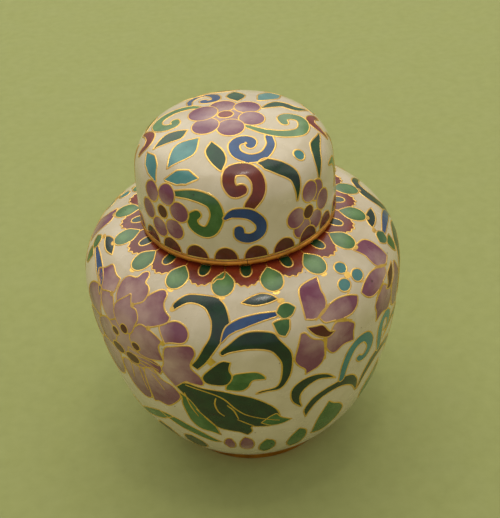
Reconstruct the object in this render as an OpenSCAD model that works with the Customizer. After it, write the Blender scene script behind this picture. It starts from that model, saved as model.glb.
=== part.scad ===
// Lidded ginger jar in cloisonne enamel.
// Millimetres. +Z is up, the front faces -Y, and the foot stands on z = 0.
// The walls are layers on one outline of tangent arcs: enamel outside,
// copper in the middle, counter-enamel inside. The coloured cells and their
// wires go right through the outer enamel, down to the copper.

/* [Jar] */
// Radius of the belly at its widest
belly_r = 38; // [36:0.5:40]
// Height of the widest line above the table
equator_z = 50; // [48:0.5:52]
// Radius of the tight upper curve of the belly
upper_arc_r = 13; // [12:0.5:14]
// Slope, in degrees, where the upper curve turns into the flat shoulder
shoulder_break = 69; // [66:0.5:71]
// Radius of the flat shoulder curve
shoulder_arc_r = 34.5; // [32:0.5:38]
// Radius of the long curve below the belly
lower_arc_r = 94; // [88:1:100]
// Slope, in degrees, where the long curve turns into the foot curve
lower_break = 17; // [15:0.5:18]
// Radius of the curve that runs in to the foot
foot_arc_r = 44.3; // [43.5:0.1:45.5]

/* [Foot and neck] */
// Height of the gilt foot ring
foot_h = 2.4; // [2:0.1:3]
// Outer radius of the foot ring
foot_r = 20.6; // [20:0.1:20.8]
// Wall of the foot ring
foot_wall = 2; // [1.6:0.1:2.2]
// Outer radius of the upright neck
neck_r = 20.3; // [19.5:0.1:20.4]
// Wall of the neck
neck_wall = 1; // [0.8:0.1:1.4]
// Top of the neck above the table
neck_top_z = 71; // [69:0.5:74]

/* [Lid] */
// Radius of the lid wall at its widest
lid_r = 22.95; // [22.8:0.05:23.3]
// Height of that widest line above the table
lid_equator_z = 69.5; // [69:0.5:70.5]
// Radius of the slight bulge of the lid wall
lid_wall_arc_r = 90; // [80:1:100]
// Radius of the rounded shoulder of the lid
lid_corner_r = 8.6; // [8:0.1:9.2]
// Slope, in degrees, where the rounded shoulder meets the flat crown
lid_crown_break = 71; // [69:0.5:73]
// Height of the lower face of the rim ring, with the lid on
rim_z = 64.5; // [64.4:0.1:64.8]
// Height of the rim ring
rim_h = 1.4; // [1.2:0.1:1.6]

/* [Walls] */
// Outer enamel, which is also the height of the wires
enamel_t = 0.9; // [0.7:0.1:1]
// Copper sheet
copper_t = 0.7; // [0.6:0.1:0.8]
// Counter-enamel inside
inner_enamel_t = 0.4; // [0.3:0.1:0.5]
// Thickness of the gilt wires
wire_w = 0.35; // [0.25:0.05:0.4]

/* [Decoration] */
// Leaves, and lobes of the red band, round the neck
collar_count = 16; // [14:1:16]
// Red scallops round the foot of the lid
scallop_count = 22; // [20:1:22]
// Petals of each flower on the lid
lid_petal_count = 6; // [5:1:6]
// Outer petals of each large flower on the jar
peony_petal_count = 10; // [8:1:10]

/* [Hidden] */
$fn = 96;

// Colours of the enamels and metals
white_enamel = "#efe6d2";
brick_enamel = "#8a2f1c";
dark_green_enamel = "#1d4a2a";
light_green_enamel = "#7ba350";
turquoise_enamel = "#58a7a5";
cobalt_enamel = "#2d5590";
mauve_enamel = "#a8727f";
gilt = "#d3a043";
copper = "#b4693f";
counter_enamel = "#3f8f9a";

// ---------- outline arcs: [centre r, centre z, radius, from, to] ----------
function arc_point(arc, angle, depth = 0) =
    [arc[0] + (arc[2] - depth) * cos(angle), arc[1] + (arc[2] - depth) * sin(angle)];
function tangent_arc(at_point, angle, radius, from, to) =
    [at_point[0] - radius * cos(angle), at_point[1] - radius * sin(angle), radius, from, to];
function arc_above(arc, radius, to) =
    tangent_arc(arc_point(arc, arc[4]), arc[4], radius, arc[4], to);
function arc_below(arc, radius, from) =
    tangent_arc(arc_point(arc, arc[3]), arc[3], radius, from, arc[3]);

shoulder_end = 86;
foot_end = -58;
jar_upper = [belly_r - upper_arc_r, equator_z, upper_arc_r, 0, shoulder_break];
jar_shoulder = arc_above(jar_upper, shoulder_arc_r, shoulder_end);
jar_lower = [belly_r - lower_arc_r, equator_z, lower_arc_r, -lower_break, 0];
jar_foot = arc_below(jar_lower, foot_arc_r, foot_end);
jar_arcs = [jar_foot, jar_lower, jar_upper, jar_shoulder];

lid_wall_from = -4;
lid_wall_to = 6;
lid_wall = [lid_r - lid_wall_arc_r, lid_equator_z, lid_wall_arc_r, lid_wall_from, lid_wall_to];
lid_corner = arc_above(lid_wall, lid_corner_r, lid_crown_break);
lid_crown_r = arc_point(lid_corner, lid_crown_break)[0] / cos(lid_crown_break);
lid_crown = arc_above(lid_corner, lid_crown_r, 90);
lid_arcs = [lid_wall, lid_corner, lid_crown];

// The arc of a chain that holds a given slope
function arc_at(arcs, angle, i = 0) =
    i == len(arcs) - 1 || angle <= arcs[i][4] ? arcs[i] : arc_at(arcs, angle, i + 1);

// Depths of the layers below the outer face
copper_out = enamel_t;
copper_in = enamel_t + copper_t;
wall_t = copper_in + inner_enamel_t;

// Bottom of the enamelled layers of the lid
lid_skirt_z = rim_z + rim_h;
floor_z = foot_h + copper_t;
far = 200;
edge_round = 0.45;

// ---------- outlines ----------
// The slice of an outline that one arc bounds, between two heights
module arc_slice(arc, depth, low_z, high_z) {
    intersection() {
        union() {
            translate([arc[0], arc[1]]) circle(arc[2] - depth, $fn = 360);
            if (arc[0] > 0) translate([0, low_z - 1]) square([arc[0], high_z - low_z + 2]);
        }
        translate([0, low_z]) square([far, high_z - low_z]);
    }
}

// Everything inside a chain of arcs, a given depth below the outer face,
// above the height low_z
module inside(arcs, depth, low_z) {
    for (i = [0 : len(arcs) - 1]) {
        arc = arcs[i];
        from_z = i == 0 ? low_z : arc_point(arc, arc[3], depth)[1];
        crown = arc[4] == 90 ? 1 : 0;
        arc_slice(arc, depth, from_z, arc_point(arc, arc[4], depth)[1] + crown);
    }
}

// The outline of one layer, between two depths
module layer(arcs, outer, inner, low_z) {
    difference() {
        inside(arcs, outer, low_z);
        inside(arcs, inner, low_z - 1);
    }
}

// The round opening in the shoulder
module neck_opening() {
    translate([0, 0, equator_z]) cylinder(h = far, r = neck_r);
}

module rounded_box(w, h, r) {
    translate([r, 0]) square([w - 2 * r, h]);
    translate([0, r]) square([w, h - 2 * r]);
    for (x = [r, w - r], y = [r, h - r]) translate([x, y]) circle(r);
}

// Solids of the outer enamel of the jar and of the lid
module jar_skin() {
    difference() {
        rotate_extrude() layer(jar_arcs, 0, copper_out, foot_h);
        neck_opening();
    }
}
module lid_skin() {
    rotate_extrude() layer(lid_arcs, 0, copper_out, lid_skirt_z);
}

// ---------- placing cells ----------
// Turns a flat drawing, with x to the right and y up, into a punch that
// stands on the surface at an azimuth and a slope, facing outwards
punch_in = 4;
punch_out = 3;
module punch(arcs, azimuth, slope) {
    at = arc_point(arc_at(arcs, slope), slope);
    rotate([0, 0, azimuth])
        translate([0, -at[0], at[1]])
            rotate([90 - slope, 0, 0])
                translate([0, 0, -punch_in])
                    linear_extrude(punch_in + punch_out) children();
}
// A punch straight down from above, for drawings seen in plan
module plan_punch(low_z) {
    translate([0, 0, low_z]) linear_extrude(far) children();
}

// ---------- flat shapes; grow widens a shape all round ----------
module disc(r, grow = 0) {
    circle(r + grow);
}
// A pointed leaf: the overlap of two circles
module pointed_leaf(length, width, grow = 0) {
    r = (pow(length / 2, 2) + pow(width / 2, 2)) / width;
    intersection() {
        translate([0, r - width / 2]) circle(r + grow);
        translate([0, width / 2 - r]) circle(r + grow);
    }
}
// An open ring, like a letter C
module scroll(r, w, grow = 0) {
    gap = 70;
    difference() {
        circle(r + w / 2 + grow);
        circle(r - w / 2 - grow);
        polygon([[0, 0], far * [cos(gap / 2), sin(gap / 2)],
            far * [cos(gap / 2), -sin(gap / 2)]]);
    }
}
module round_ring(count, r) {
    for (i = [0 : count - 1]) rotate(360 / count * i) translate([0, r]) children();
}

// ---------- the collar round the neck, seen in plan ----------
collar_turn = -99;
collar_low_z = 55;
band_r = 24.4;
lobe_r = 3.1;
lobe_at = 24;
leaf_len = 6.4;
leaf_w = 4.6;
leaf_at = 26.9;
eye_r = 1.4;
eye_at = 23.7;

// The pitch begins at the turn of the first leaf; drawings point to +y
module round_collar(offset_steps) {
    rotate(180 + collar_turn) for (i = [0 : collar_count - 1])
        rotate(360 / collar_count * (i + offset_steps)) children();
}
module leaf_shapes(grow = 0) {
    round_collar(0) translate([0, leaf_at]) rotate(90) pointed_leaf(leaf_len, leaf_w, grow);
}
module eye_shapes(grow = 0) {
    round_collar(0.5) translate([0, eye_at]) disc(eye_r, grow);
}
module band_shape(grow = 0) {
    circle(band_r + grow);
    round_collar(0.5) translate([0, lobe_at]) disc(lobe_r, grow);
}
module collar_border() {
    circle(neck_r + wire_w);
}
module band_cell() {
    difference() {
        band_shape();
        collar_border();
        leaf_shapes(wire_w);
        eye_shapes(wire_w);
    }
}
// All that the collar covers, out to the outside of its wires
module collar_zone() {
    band_shape(wire_w);
    leaf_shapes(wire_w);
}

// ---------- flowers and leaves on the jar ----------
peony_azimuths = [-57, 147];
peony_slope = 4;
peony_petal_r = 2.75;
peony_petal_at = 11.3;
peony_inner_width = 15.2;
peony_inner_r = peony_inner_width / peony_petal_count;
peony_inner_at = 6.2;
seed_count = 5;
seed_r = 0.95;
seed_at = 2.4;
blossom_azimuths = [28, 62, 214, 248];
blossom_slope = 12;
blossom_petal_r = 2.9;
blossom_petal_at = 4.8;
blossom_petal_count = 4;
berry_azimuths = [45, 231];
berry_slope = 50;
berry_r = 1.25;
berry_at = 2.1;
berry_count = 3;
leaf_azimuths = [-15, 3, 87, 105, 189, 270];
jar_leaf_slope = -9;
jar_leaf_len = 15;
jar_leaf_w = 5.5;

module on_peonies() {
    for (azimuth = peony_azimuths) punch(jar_arcs, azimuth, peony_slope) children();
}
module on_blossoms() {
    for (azimuth = blossom_azimuths) punch(jar_arcs, azimuth, blossom_slope) children();
}
module on_berries() {
    for (azimuth = berry_azimuths) punch(jar_arcs, azimuth, berry_slope) children();
}
module on_jar_leaves() {
    for (azimuth = leaf_azimuths) punch(jar_arcs, azimuth, jar_leaf_slope) rotate(-50) children();
}
module peony_petal_shapes(grow = 0) {
    round_ring(peony_petal_count, peony_petal_at) disc(peony_petal_r, grow);
    round_ring(peony_petal_count, peony_inner_at) disc(peony_inner_r, grow);
}
module seed_shapes(grow = 0) {
    round_ring(seed_count, seed_at) disc(seed_r, grow);
}
module blossom_shapes(grow = 0) {
    round_ring(blossom_petal_count, blossom_petal_at) disc(blossom_petal_r, grow);
}
module berry_shapes(grow = 0) {
    round_ring(berry_count, berry_at) disc(berry_r, grow);
}
module jar_leaf_shapes(grow = 0) {
    pointed_leaf(jar_leaf_len, jar_leaf_w, grow);
}
// All the cells of the jar's flowers and leaves
module jar_cells(grow = 0) {
    on_peonies() {
        peony_petal_shapes(grow);
        seed_shapes(grow);
    }
    on_blossoms() blossom_shapes(grow);
    on_berries() berry_shapes(grow);
    on_jar_leaves() jar_leaf_shapes(grow);
}

// ---------- cells of the lid ----------
scallop_turn = -57.8;
scallop_r = 2.2;
scallop_slope = -2;
crown_low_z = 80;
top_petal_r = 2.5;
top_petal_at = 5.6;
top_centre_r = 1.9;
side_azimuths = [-47, 41, 131, 221];
side_slope = 2.75;
side_petal_r = 1.3;
side_petal_at = 3.25;
side_centre_r = 1.3;
scroll_azimuths = [3, 93, 177, 267];
scroll_slope = 4.5;
scroll_r = 2.1;
scroll_w = 1.4;
lid_leaf_azimuths = [-70, -15, 20, 65, 110, 155, 200, 245];
lid_leaf_slope = 45;
lid_leaf_len = 6.5;
lid_leaf_w = 2.4;

module on_scallops() {
    for (i = [0 : scallop_count - 1])
        punch(lid_arcs, scallop_turn + 360 / scallop_count * i, scallop_slope) children();
}
module on_sides() {
    for (azimuth = side_azimuths) punch(lid_arcs, azimuth, side_slope) children();
}
module on_scrolls() {
    for (azimuth = scroll_azimuths) punch(lid_arcs, azimuth, scroll_slope) children();
}
module on_lid_leaves() {
    for (azimuth = lid_leaf_azimuths) punch(lid_arcs, azimuth, lid_leaf_slope) children();
}
module scallop_shapes(grow = 0) {
    intersection() {
        disc(scallop_r, grow);
        translate([-far / 2, -grow]) square(far);
    }
}
module top_petal_shapes(grow = 0) {
    round_ring(lid_petal_count, top_petal_at) disc(top_petal_r, grow);
}
module side_petal_shapes(grow = 0) {
    round_ring(lid_petal_count, side_petal_at) disc(side_petal_r, grow);
}
module lid_leaf_shapes(grow = 0) {
    rotate(90) pointed_leaf(lid_leaf_len, lid_leaf_w, grow);
}
// All the cells of the lid
module lid_cells(grow = 0) {
    on_scallops() scallop_shapes(grow);
    plan_punch(crown_low_z) {
        top_petal_shapes(grow);
        disc(top_centre_r, grow);
    }
    on_sides() {
        side_petal_shapes(grow);
        disc(side_centre_r, grow);
    }
    on_scrolls() scroll(scroll_r, scroll_w, grow);
    on_lid_leaves() lid_leaf_shapes(grow);
}

// ---------- metal of the jar ----------
// Lower half of the raised copper body
module belly_shell() {
    color(copper) rotate_extrude() difference() {
        layer(jar_arcs, copper_out, copper_in, foot_h);
        translate([0, equator_z]) square(far);
    }
}
// Upper half of the copper body, brazed on at the widest line
module shoulder_shell() {
    color(copper) difference() {
        rotate_extrude() layer(jar_arcs, copper_out, copper_in, foot_h);
        neck_opening();
        translate([-far / 2, -far / 2, equator_z - far]) cube(far);
    }
}
// Copper disc that closes the bottom
module base_plate() {
    color(copper) rotate_extrude() difference() {
        inside(jar_arcs, copper_in, foot_h);
        translate([0, floor_z]) square(far);
    }
}
// Upright ring that the lid fits over
module neck_ring() {
    low_z = arc_point(jar_shoulder, shoulder_end, wall_t)[1];
    color(gilt) rotate_extrude()
        translate([neck_r - neck_wall, low_z])
            rounded_box(neck_wall, neck_top_z - low_z, edge_round);
}
module foot_ring() {
    color(gilt) rotate_extrude() translate([foot_r - foot_wall, 0]) {
        rounded_box(foot_wall, foot_h, edge_round);
        translate([0, edge_round]) square([foot_wall, foot_h - edge_round]);
    }
}

// Turn of the ground's seam, which lies under a collar leaf and clear of the flowers
seam_turn = 81;

// ---------- enamel of the jar ----------
module inner_enamel() {
    enamel_floor_z = floor_z + inner_enamel_t;
    color(counter_enamel) difference() {
        rotate_extrude() difference() {
            inside(jar_arcs, copper_in, floor_z);
            inside(jar_arcs, wall_t, enamel_floor_z);
        }
        neck_opening();
    }
}
module base_enamel() {
    base_enamel_t = 0.6;
    color(counter_enamel) translate([0, 0, foot_h - base_enamel_t])
        cylinder(h = base_enamel_t, r = foot_r - foot_wall);
}
module neck_border_wire() {
    color(gilt) rotate_extrude() intersection() {
        layer(jar_arcs, 0, copper_out, equator_z);
        translate([neck_r, equator_z]) square([wire_w, far]);
    }
}
module foot_border_wire() {
    color(gilt) rotate_extrude() difference() {
        layer(jar_arcs, 0, copper_out, foot_h);
        translate([0, foot_h + wire_w]) square(far);
    }
}
module jar_ground() {
    color(white_enamel) difference() {
        difference() {
            rotate([0, 0, seam_turn]) rotate_extrude() layer(jar_arcs, 0, copper_out, foot_h + wire_w);
            plan_punch(collar_low_z) collar_zone();
        }
        jar_cells(wire_w);
    }
}
module collar_band() {
    color(brick_enamel) intersection() {
        jar_skin();
        plan_punch(collar_low_z) band_cell();
    }
}
module collar_leaves() {
    color(light_green_enamel) intersection() {
        jar_skin();
        plan_punch(collar_low_z) leaf_shapes();
    }
}
module collar_eyes() {
    color(dark_green_enamel) intersection() {
        jar_skin();
        plan_punch(collar_low_z) eye_shapes();
    }
}
module collar_wires() {
    color(gilt) intersection() {
        jar_skin();
        plan_punch(collar_low_z) difference() {
            collar_zone();
            collar_border();
            band_cell();
            leaf_shapes();
            eye_shapes();
        }
    }
}
module peony_petals() {
    color(mauve_enamel) intersection() {
        jar_skin();
        on_peonies() peony_petal_shapes();
    }
}
module peony_seeds() {
    color(brick_enamel) intersection() {
        jar_skin();
        on_peonies() seed_shapes();
    }
}
module blossom_petals() {
    color(mauve_enamel) intersection() {
        jar_skin();
        on_blossoms() blossom_shapes();
    }
}
module berries() {
    color(turquoise_enamel) intersection() {
        jar_skin();
        on_berries() berry_shapes();
    }
}
module jar_leaves() {
    color(dark_green_enamel) intersection() {
        jar_skin();
        on_jar_leaves() jar_leaf_shapes();
    }
}
module jar_wires() {
    color(gilt) intersection() {
        jar_skin();
        difference() {
            jar_cells(wire_w);
            jar_cells();
        }
    }
}

// ---------- the lid ----------
module lid_shell() {
    color(copper) rotate_extrude() layer(lid_arcs, copper_out, copper_in, lid_skirt_z);
}
// Half-round gilt ring that closes the skirt of the lid
module lid_rim() {
    inner_r = arc_point(lid_wall, lid_wall_from, wall_t)[0];
    color(gilt) rotate_extrude() {
        translate([inner_r, rim_z]) square([lid_r - rim_h / 2 - inner_r, rim_h]);
        translate([lid_r - rim_h / 2, rim_z + rim_h / 2]) circle(rim_h / 2);
    }
}
module lid_inner_enamel() {
    color(counter_enamel) rotate_extrude() layer(lid_arcs, copper_in, wall_t, lid_skirt_z);
}
module lid_ground() {
    color(white_enamel) difference() {
        lid_skin();
        lid_cells(wire_w);
    }
}
module lid_scallops() {
    color(brick_enamel) intersection() {
        lid_skin();
        on_scallops() scallop_shapes();
    }
}
module lid_top_petals() {
    color(mauve_enamel) intersection() {
        lid_skin();
        plan_punch(crown_low_z) top_petal_shapes();
    }
}
module lid_top_centre() {
    color(brick_enamel) intersection() {
        lid_skin();
        plan_punch(crown_low_z) disc(top_centre_r);
    }
}
module lid_side_petals() {
    color(mauve_enamel) intersection() {
        lid_skin();
        on_sides() side_petal_shapes();
    }
}
module lid_side_centres() {
    color(brick_enamel) intersection() {
        lid_skin();
        on_sides() disc(side_centre_r);
    }
}
module lid_scrolls() {
    color(cobalt_enamel) intersection() {
        lid_skin();
        on_scrolls() scroll(scroll_r, scroll_w);
    }
}
module lid_leaves() {
    color(dark_green_enamel) intersection() {
        lid_skin();
        on_lid_leaves() lid_leaf_shapes();
    }
}
module lid_wires() {
    color(gilt) intersection() {
        lid_skin();
        difference() {
            lid_cells(wire_w);
            lid_cells();
        }
    }
}

belly_shell();
shoulder_shell();
base_plate();
neck_ring();
foot_ring();
inner_enamel();
base_enamel();
jar_ground();
neck_border_wire();
foot_border_wire();
collar_band();
collar_leaves();
collar_eyes();
collar_wires();
peony_petals();
peony_seeds();
blossom_petals();
berries();
jar_leaves();
jar_wires();
lid_shell();
lid_rim();
lid_inner_enamel();
lid_ground();
lid_scallops();
lid_top_petals();
lid_top_centre();
lid_side_petals();
lid_side_centres();
lid_scrolls();
lid_leaves();
lid_wires();
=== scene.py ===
"""A lidded ginger jar in cloisonne enamel.

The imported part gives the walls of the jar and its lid. This script lays the enamel
pictures, their gilt wires and all the finishes over those walls, on the same outline.
Lengths are in millimetres until they are placed, and azimuths are in degrees, with
zero at the front of the jar and growing to the right.
"""

import logging
import math
from dataclasses import dataclass, field
from enum import Enum

import bpy
import numpy as np
from mathutils import Matrix, Vector


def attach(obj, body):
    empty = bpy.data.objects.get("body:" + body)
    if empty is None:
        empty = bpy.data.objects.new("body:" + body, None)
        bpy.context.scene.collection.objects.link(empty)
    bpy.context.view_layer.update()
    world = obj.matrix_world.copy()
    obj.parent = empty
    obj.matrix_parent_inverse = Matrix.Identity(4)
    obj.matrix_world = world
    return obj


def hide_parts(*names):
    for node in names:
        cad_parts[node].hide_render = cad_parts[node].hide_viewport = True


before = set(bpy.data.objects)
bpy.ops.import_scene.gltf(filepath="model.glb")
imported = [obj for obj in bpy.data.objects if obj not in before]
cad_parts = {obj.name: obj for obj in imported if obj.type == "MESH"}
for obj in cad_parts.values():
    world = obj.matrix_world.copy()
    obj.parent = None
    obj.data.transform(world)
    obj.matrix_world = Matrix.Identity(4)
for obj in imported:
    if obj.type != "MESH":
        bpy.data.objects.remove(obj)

LOG = logging.getLogger("ginger_jar")
MM = 0.001
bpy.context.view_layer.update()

# How many features of each kind a metre of the object holds
CLOUDS = 210.0
GRAINS = 1500.0
WAVES = 330.0
PATCHES = 120.0
PITS = 620.0
PIT_FIELDS = 480.0
MATT_SPOTS = 260.0
SWELLS = 170.0
WORN_SPOTS = 420.0
RUBBED_SPOTS = 700.0
HAMMERINGS = 1300.0
CARD_FLECKS = 300.0
CARD_PATCHES = 90.0
CARD_FIBRES = 2500.0

# Heights of the bumps, in metres
ENAMEL_BUMP = 0.00016
GILT_BUMP = 0.00012
CARD_BUMP = 0.0001

# Angles, in degrees, up to which the edges of a piece are shaded smooth
WIRE_SMOOTH = 50
TURNED_SMOOTH = 40
# How squarely a face has to look outwards to be shaded as the outline
OUTWARD = 0.7
# How many points one side of a shell's profile has
PROFILE_POINTS = 72

Point = tuple[float, float]
Colour = tuple[int, int, int]


class Slot(Enum):
    """The finishes that the record names."""

    WHITE = "white_enamel"
    BRICK = "brick_enamel"
    DARK_GREEN = "dark_green_enamel"
    LIGHT_GREEN = "light_green_enamel"
    TURQUOISE = "turquoise_enamel"
    COBALT = "cobalt_enamel"
    MAUVE = "mauve_enamel"
    COUNTER = "counter_enamel"
    WIRE = "gilt_wire"
    BRASS = "gilt_brass"
    COPPER = "copper"


# ---------------------------------------------------------------- finishes


def linear(colour: Colour) -> tuple[float, float, float, float]:
    """Turns a colour in 0 to 255 steps into the linear values of a shader socket."""

    def channel(step: int) -> float:
        """Gives one channel's linear value."""
        value = step / 255
        return value / 12.92 if value <= 0.04045 else ((value + 0.055) / 1.055) ** 2.4

    return (*[channel(step) for step in colour], 1.0)


class NodeSheet:
    """A new material with a shader and short calls that add and join nodes."""

    def __init__(self, name: str) -> None:
        """Makes the material.

        Args:
            name: The name of the material.
        """
        self.material = bpy.data.materials.new(name)
        self.material.use_nodes = True
        self.tree = self.material.node_tree
        self.shader = self.tree.nodes["Principled BSDF"]
        self.place = self.add("ShaderNodeTexCoord").outputs["Object"]

    def add(self, kind: str, **settings: object) -> bpy.types.Node:
        """Adds a node.

        Args:
            kind: The node's type name.
            settings: Attributes of the node.

        Returns:
            The node.
        """
        node = self.tree.nodes.new(kind)
        for key, value in settings.items():
            setattr(node, key, value)
        return node

    def join(self, source: bpy.types.NodeSocket, target: bpy.types.NodeSocket) -> None:
        """Links two sockets."""
        self.tree.links.new(source, target)

    def noise(self, scale: float, detail: float = 3.0, warp: float = 0.0) -> bpy.types.NodeSocket:
        """Adds a noise over the object's own place, and gives its factor.

        Args:
            scale: How many features a metre holds.
            detail: How fine the noise goes.
            warp: How far the noise bends itself.

        Returns:
            The output socket.
        """
        node = self.add("ShaderNodeTexNoise")
        node.inputs["Scale"].default_value = scale
        node.inputs["Detail"].default_value = detail
        node.inputs["Distortion"].default_value = warp
        self.join(self.place, node.inputs["Vector"])
        return node.outputs["Fac"]

    def remap(
        self, source: bpy.types.NodeSocket, low: float, high: float, to_low: float = 0.0, to_high: float = 1.0
    ) -> bpy.types.NodeSocket:
        """Stretches a value between two limits onto a new range, and gives the result."""
        node = self.add("ShaderNodeMapRange")
        node.clamp = True
        for key, value in (("From Min", low), ("From Max", high), ("To Min", to_low), ("To Max", to_high)):
            node.inputs[key].default_value = value
        self.join(source, node.inputs["Value"])
        return node.outputs["Result"]

    def math(self, operation: str, first: object, second: object) -> bpy.types.NodeSocket:
        """Works on two values, each a socket or a number, and gives the result."""
        node = self.add("ShaderNodeMath", operation=operation)
        for socket, value in zip(node.inputs, (first, second)):
            if isinstance(value, (int, float)):
                socket.default_value = value
            else:
                self.join(value, socket)
        return node.outputs["Value"]

    def mix(self, factor: bpy.types.NodeSocket, first: object, second: object) -> bpy.types.NodeSocket:
        """Mixes two colours, each a socket or a colour in steps, and gives the result."""
        node = self.add("ShaderNodeMix", data_type="RGBA")
        self.join(factor, node.inputs["Factor"])
        for socket, value in ((node.inputs[6], first), (node.inputs[7], second)):
            if isinstance(value, tuple):
                socket.default_value = linear(value)
            else:
                self.join(value, socket)
        return node.outputs[2]

    def bump(self, height: bpy.types.NodeSocket, strength: float, depth: float) -> None:
        """Bumps the shader's normal by a height.

        Args:
            height: The height socket.
            strength: How strong the bump is, from 0 to 1.
            depth: The height of one unit, in metres.
        """
        node = self.add("ShaderNodeBump")
        node.inputs["Strength"].default_value = strength
        node.inputs["Distance"].default_value = depth
        self.join(height, node.inputs["Height"])
        self.join(node.outputs["Normal"], self.shader.inputs["Normal"])


@dataclass(frozen=True)
class EnamelFinish:
    """Fired enamel, polished flat, with cloudy colour and small open pits."""

    name: str
    deep: Colour
    pale: Colour
    cloud: Colour
    cloud_amount: float = 0.45
    pit: Colour = (60, 40, 28)
    gloss: float = 0.17
    shaded: bool = True

    def build(self) -> bpy.types.Material:
        """Makes the material.

        Returns:
            The material.
        """
        sheet = NodeSheet(self.name)
        cloud = sheet.remap(sheet.noise(CLOUDS, 4.0, 0.6), 0.36, 0.68, 0.0, self.cloud_amount)
        grain = sheet.noise(GRAINS, 2.0)
        if self.shaded:
            attribute = sheet.add("ShaderNodeAttribute", attribute_name="shade")
            wavy = sheet.math(
                "ADD", attribute.outputs["Fac"], sheet.remap(sheet.noise(WAVES), 0.3, 0.7, -0.2, 0.2)
            )
            depth = sheet.remap(wavy, 0.1, 0.95)
        else:
            depth = sheet.remap(sheet.noise(PATCHES, 2.0), 0.3, 0.7, 0.55, 1.0)
        colour = sheet.mix(cloud, sheet.mix(depth, self.pale, self.deep), self.cloud)
        cells = sheet.add("ShaderNodeTexVoronoi")
        cells.inputs["Scale"].default_value = PITS
        sheet.join(sheet.place, cells.inputs["Vector"])
        thin = sheet.remap(sheet.noise(PIT_FIELDS, 1.0), 0.58, 0.72, 0.0, 0.2)
        pit = sheet.remap(sheet.math("SUBTRACT", cells.outputs["Distance"], thin), -0.07, 0.0, 1.0, 0.0)
        colour = sheet.mix(sheet.math("MULTIPLY", pit, 0.8), colour, self.pit)
        sheet.join(colour, sheet.shader.inputs["Base Color"])
        matt = sheet.remap(sheet.noise(MATT_SPOTS, 3.0), 0.35, 0.7, self.gloss, self.gloss + 0.14)
        sheet.join(
            sheet.math("MAXIMUM", matt, sheet.math("MULTIPLY", pit, 0.6)),
            sheet.shader.inputs["Roughness"],
        )
        sheet.shader.inputs["Coat Weight"].default_value = 0.15
        sheet.shader.inputs["Coat Roughness"].default_value = 0.12
        swell = sheet.math("MULTIPLY", sheet.noise(SWELLS, 1.0), 0.9)
        height = sheet.math("ADD", swell, sheet.math("MULTIPLY", grain, 0.08))
        sheet.bump(sheet.math("SUBTRACT", height, pit), 0.35, ENAMEL_BUMP)
        return sheet.material


@dataclass(frozen=True)
class GiltFinish:
    """Gilded metal, bright on the worn ridges and brown where the gold has thinned."""

    name: str
    bright: Colour
    worn: Colour
    wear: float = 0.5
    rough: float = 0.26

    def build(self) -> bpy.types.Material:
        """Makes the material.

        Returns:
            The material.
        """
        sheet = NodeSheet(self.name)
        worn = sheet.remap(sheet.noise(WORN_SPOTS, 4.0, 0.4), 0.42, 0.72, 0.0, self.wear)
        sheet.join(sheet.mix(worn, self.bright, self.worn), sheet.shader.inputs["Base Color"])
        sheet.shader.inputs["Metallic"].default_value = 1.0
        rough = sheet.remap(sheet.noise(RUBBED_SPOTS, 3.0), 0.3, 0.7, self.rough, self.rough + 0.2)
        sheet.join(rough, sheet.shader.inputs["Roughness"])
        sheet.bump(sheet.noise(HAMMERINGS, 3.0), 0.3, GILT_BUMP)
        return sheet.material


@dataclass(frozen=True)
class CardFinish:
    """The matt coloured card that the jar stands on."""

    name: str = "card"
    colour: Colour = (163, 168, 101)
    shade: Colour = (157, 162, 96)

    def build(self) -> bpy.types.Material:
        """Makes the material.

        Returns:
            The material.
        """
        sheet = NodeSheet(self.name)
        fleck = sheet.remap(sheet.noise(CARD_FLECKS, 4.0), 0.3, 0.7)
        sheet.join(sheet.mix(fleck, self.colour, self.shade), sheet.shader.inputs["Base Color"])
        sheet.join(
            sheet.remap(sheet.noise(CARD_PATCHES), 0.3, 0.7, 0.82, 0.95),
            sheet.shader.inputs["Roughness"],
        )
        sheet.bump(sheet.noise(CARD_FIBRES, 2.0), 0.15, CARD_BUMP)
        return sheet.material


class Finishes:
    """All the finishes of the jar, one for each slot of the record."""

    def __init__(self) -> None:
        """Builds the materials."""
        recipes = {
            Slot.WHITE: EnamelFinish(
                "cream", (216, 200, 168), (228, 213, 184), (192, 176, 138), 0.4, (120, 96, 64), shaded=False
            ),
            Slot.BRICK: EnamelFinish("brick_red", (88, 26, 16), (146, 54, 26), (70, 20, 14)),
            Slot.DARK_GREEN: EnamelFinish("bottle_green", (10, 42, 26), (30, 92, 46), (8, 28, 22)),
            Slot.LIGHT_GREEN: EnamelFinish("leaf_green", (54, 96, 40), (116, 156, 92), (48, 92, 46), 0.4),
            Slot.TURQUOISE: EnamelFinish("turquoise", (62, 130, 124), (112, 166, 156), (46, 104, 110), 0.5),
            Slot.COBALT: EnamelFinish("cobalt", (30, 62, 116), (60, 98, 140), (20, 36, 76), 0.5),
            Slot.MAUVE: EnamelFinish(
                "mauve", (122, 60, 84), (194, 160, 146), (150, 98, 108), 0.35, (70, 36, 34)
            ),
            Slot.COUNTER: EnamelFinish(
                "counter_blue", (44, 110, 124), (70, 142, 150), (30, 80, 96), 0.6, shaded=False
            ),
            Slot.WIRE: GiltFinish("gilt_wires", (248, 204, 110), (188, 130, 62), 0.4, 0.26),
            Slot.BRASS: GiltFinish("gilt_rings", (218, 148, 62), (140, 84, 36), 0.5, 0.28),
            Slot.COPPER: GiltFinish("copper_sheet", (196, 112, 76), (112, 62, 44), 0.6, 0.34),
        }
        self.materials = {slot: recipe.build() for slot, recipe in recipes.items()}

    def dress(self, piece: bpy.types.Object, slot: Slot) -> None:
        """Gives a piece one finish.

        Args:
            piece: The piece or CAD node.
            slot: The finish.
        """
        piece.data.materials.clear()
        piece.data.materials.append(self.materials[slot])


# ---------------------------------------------------------------- outlines


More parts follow.
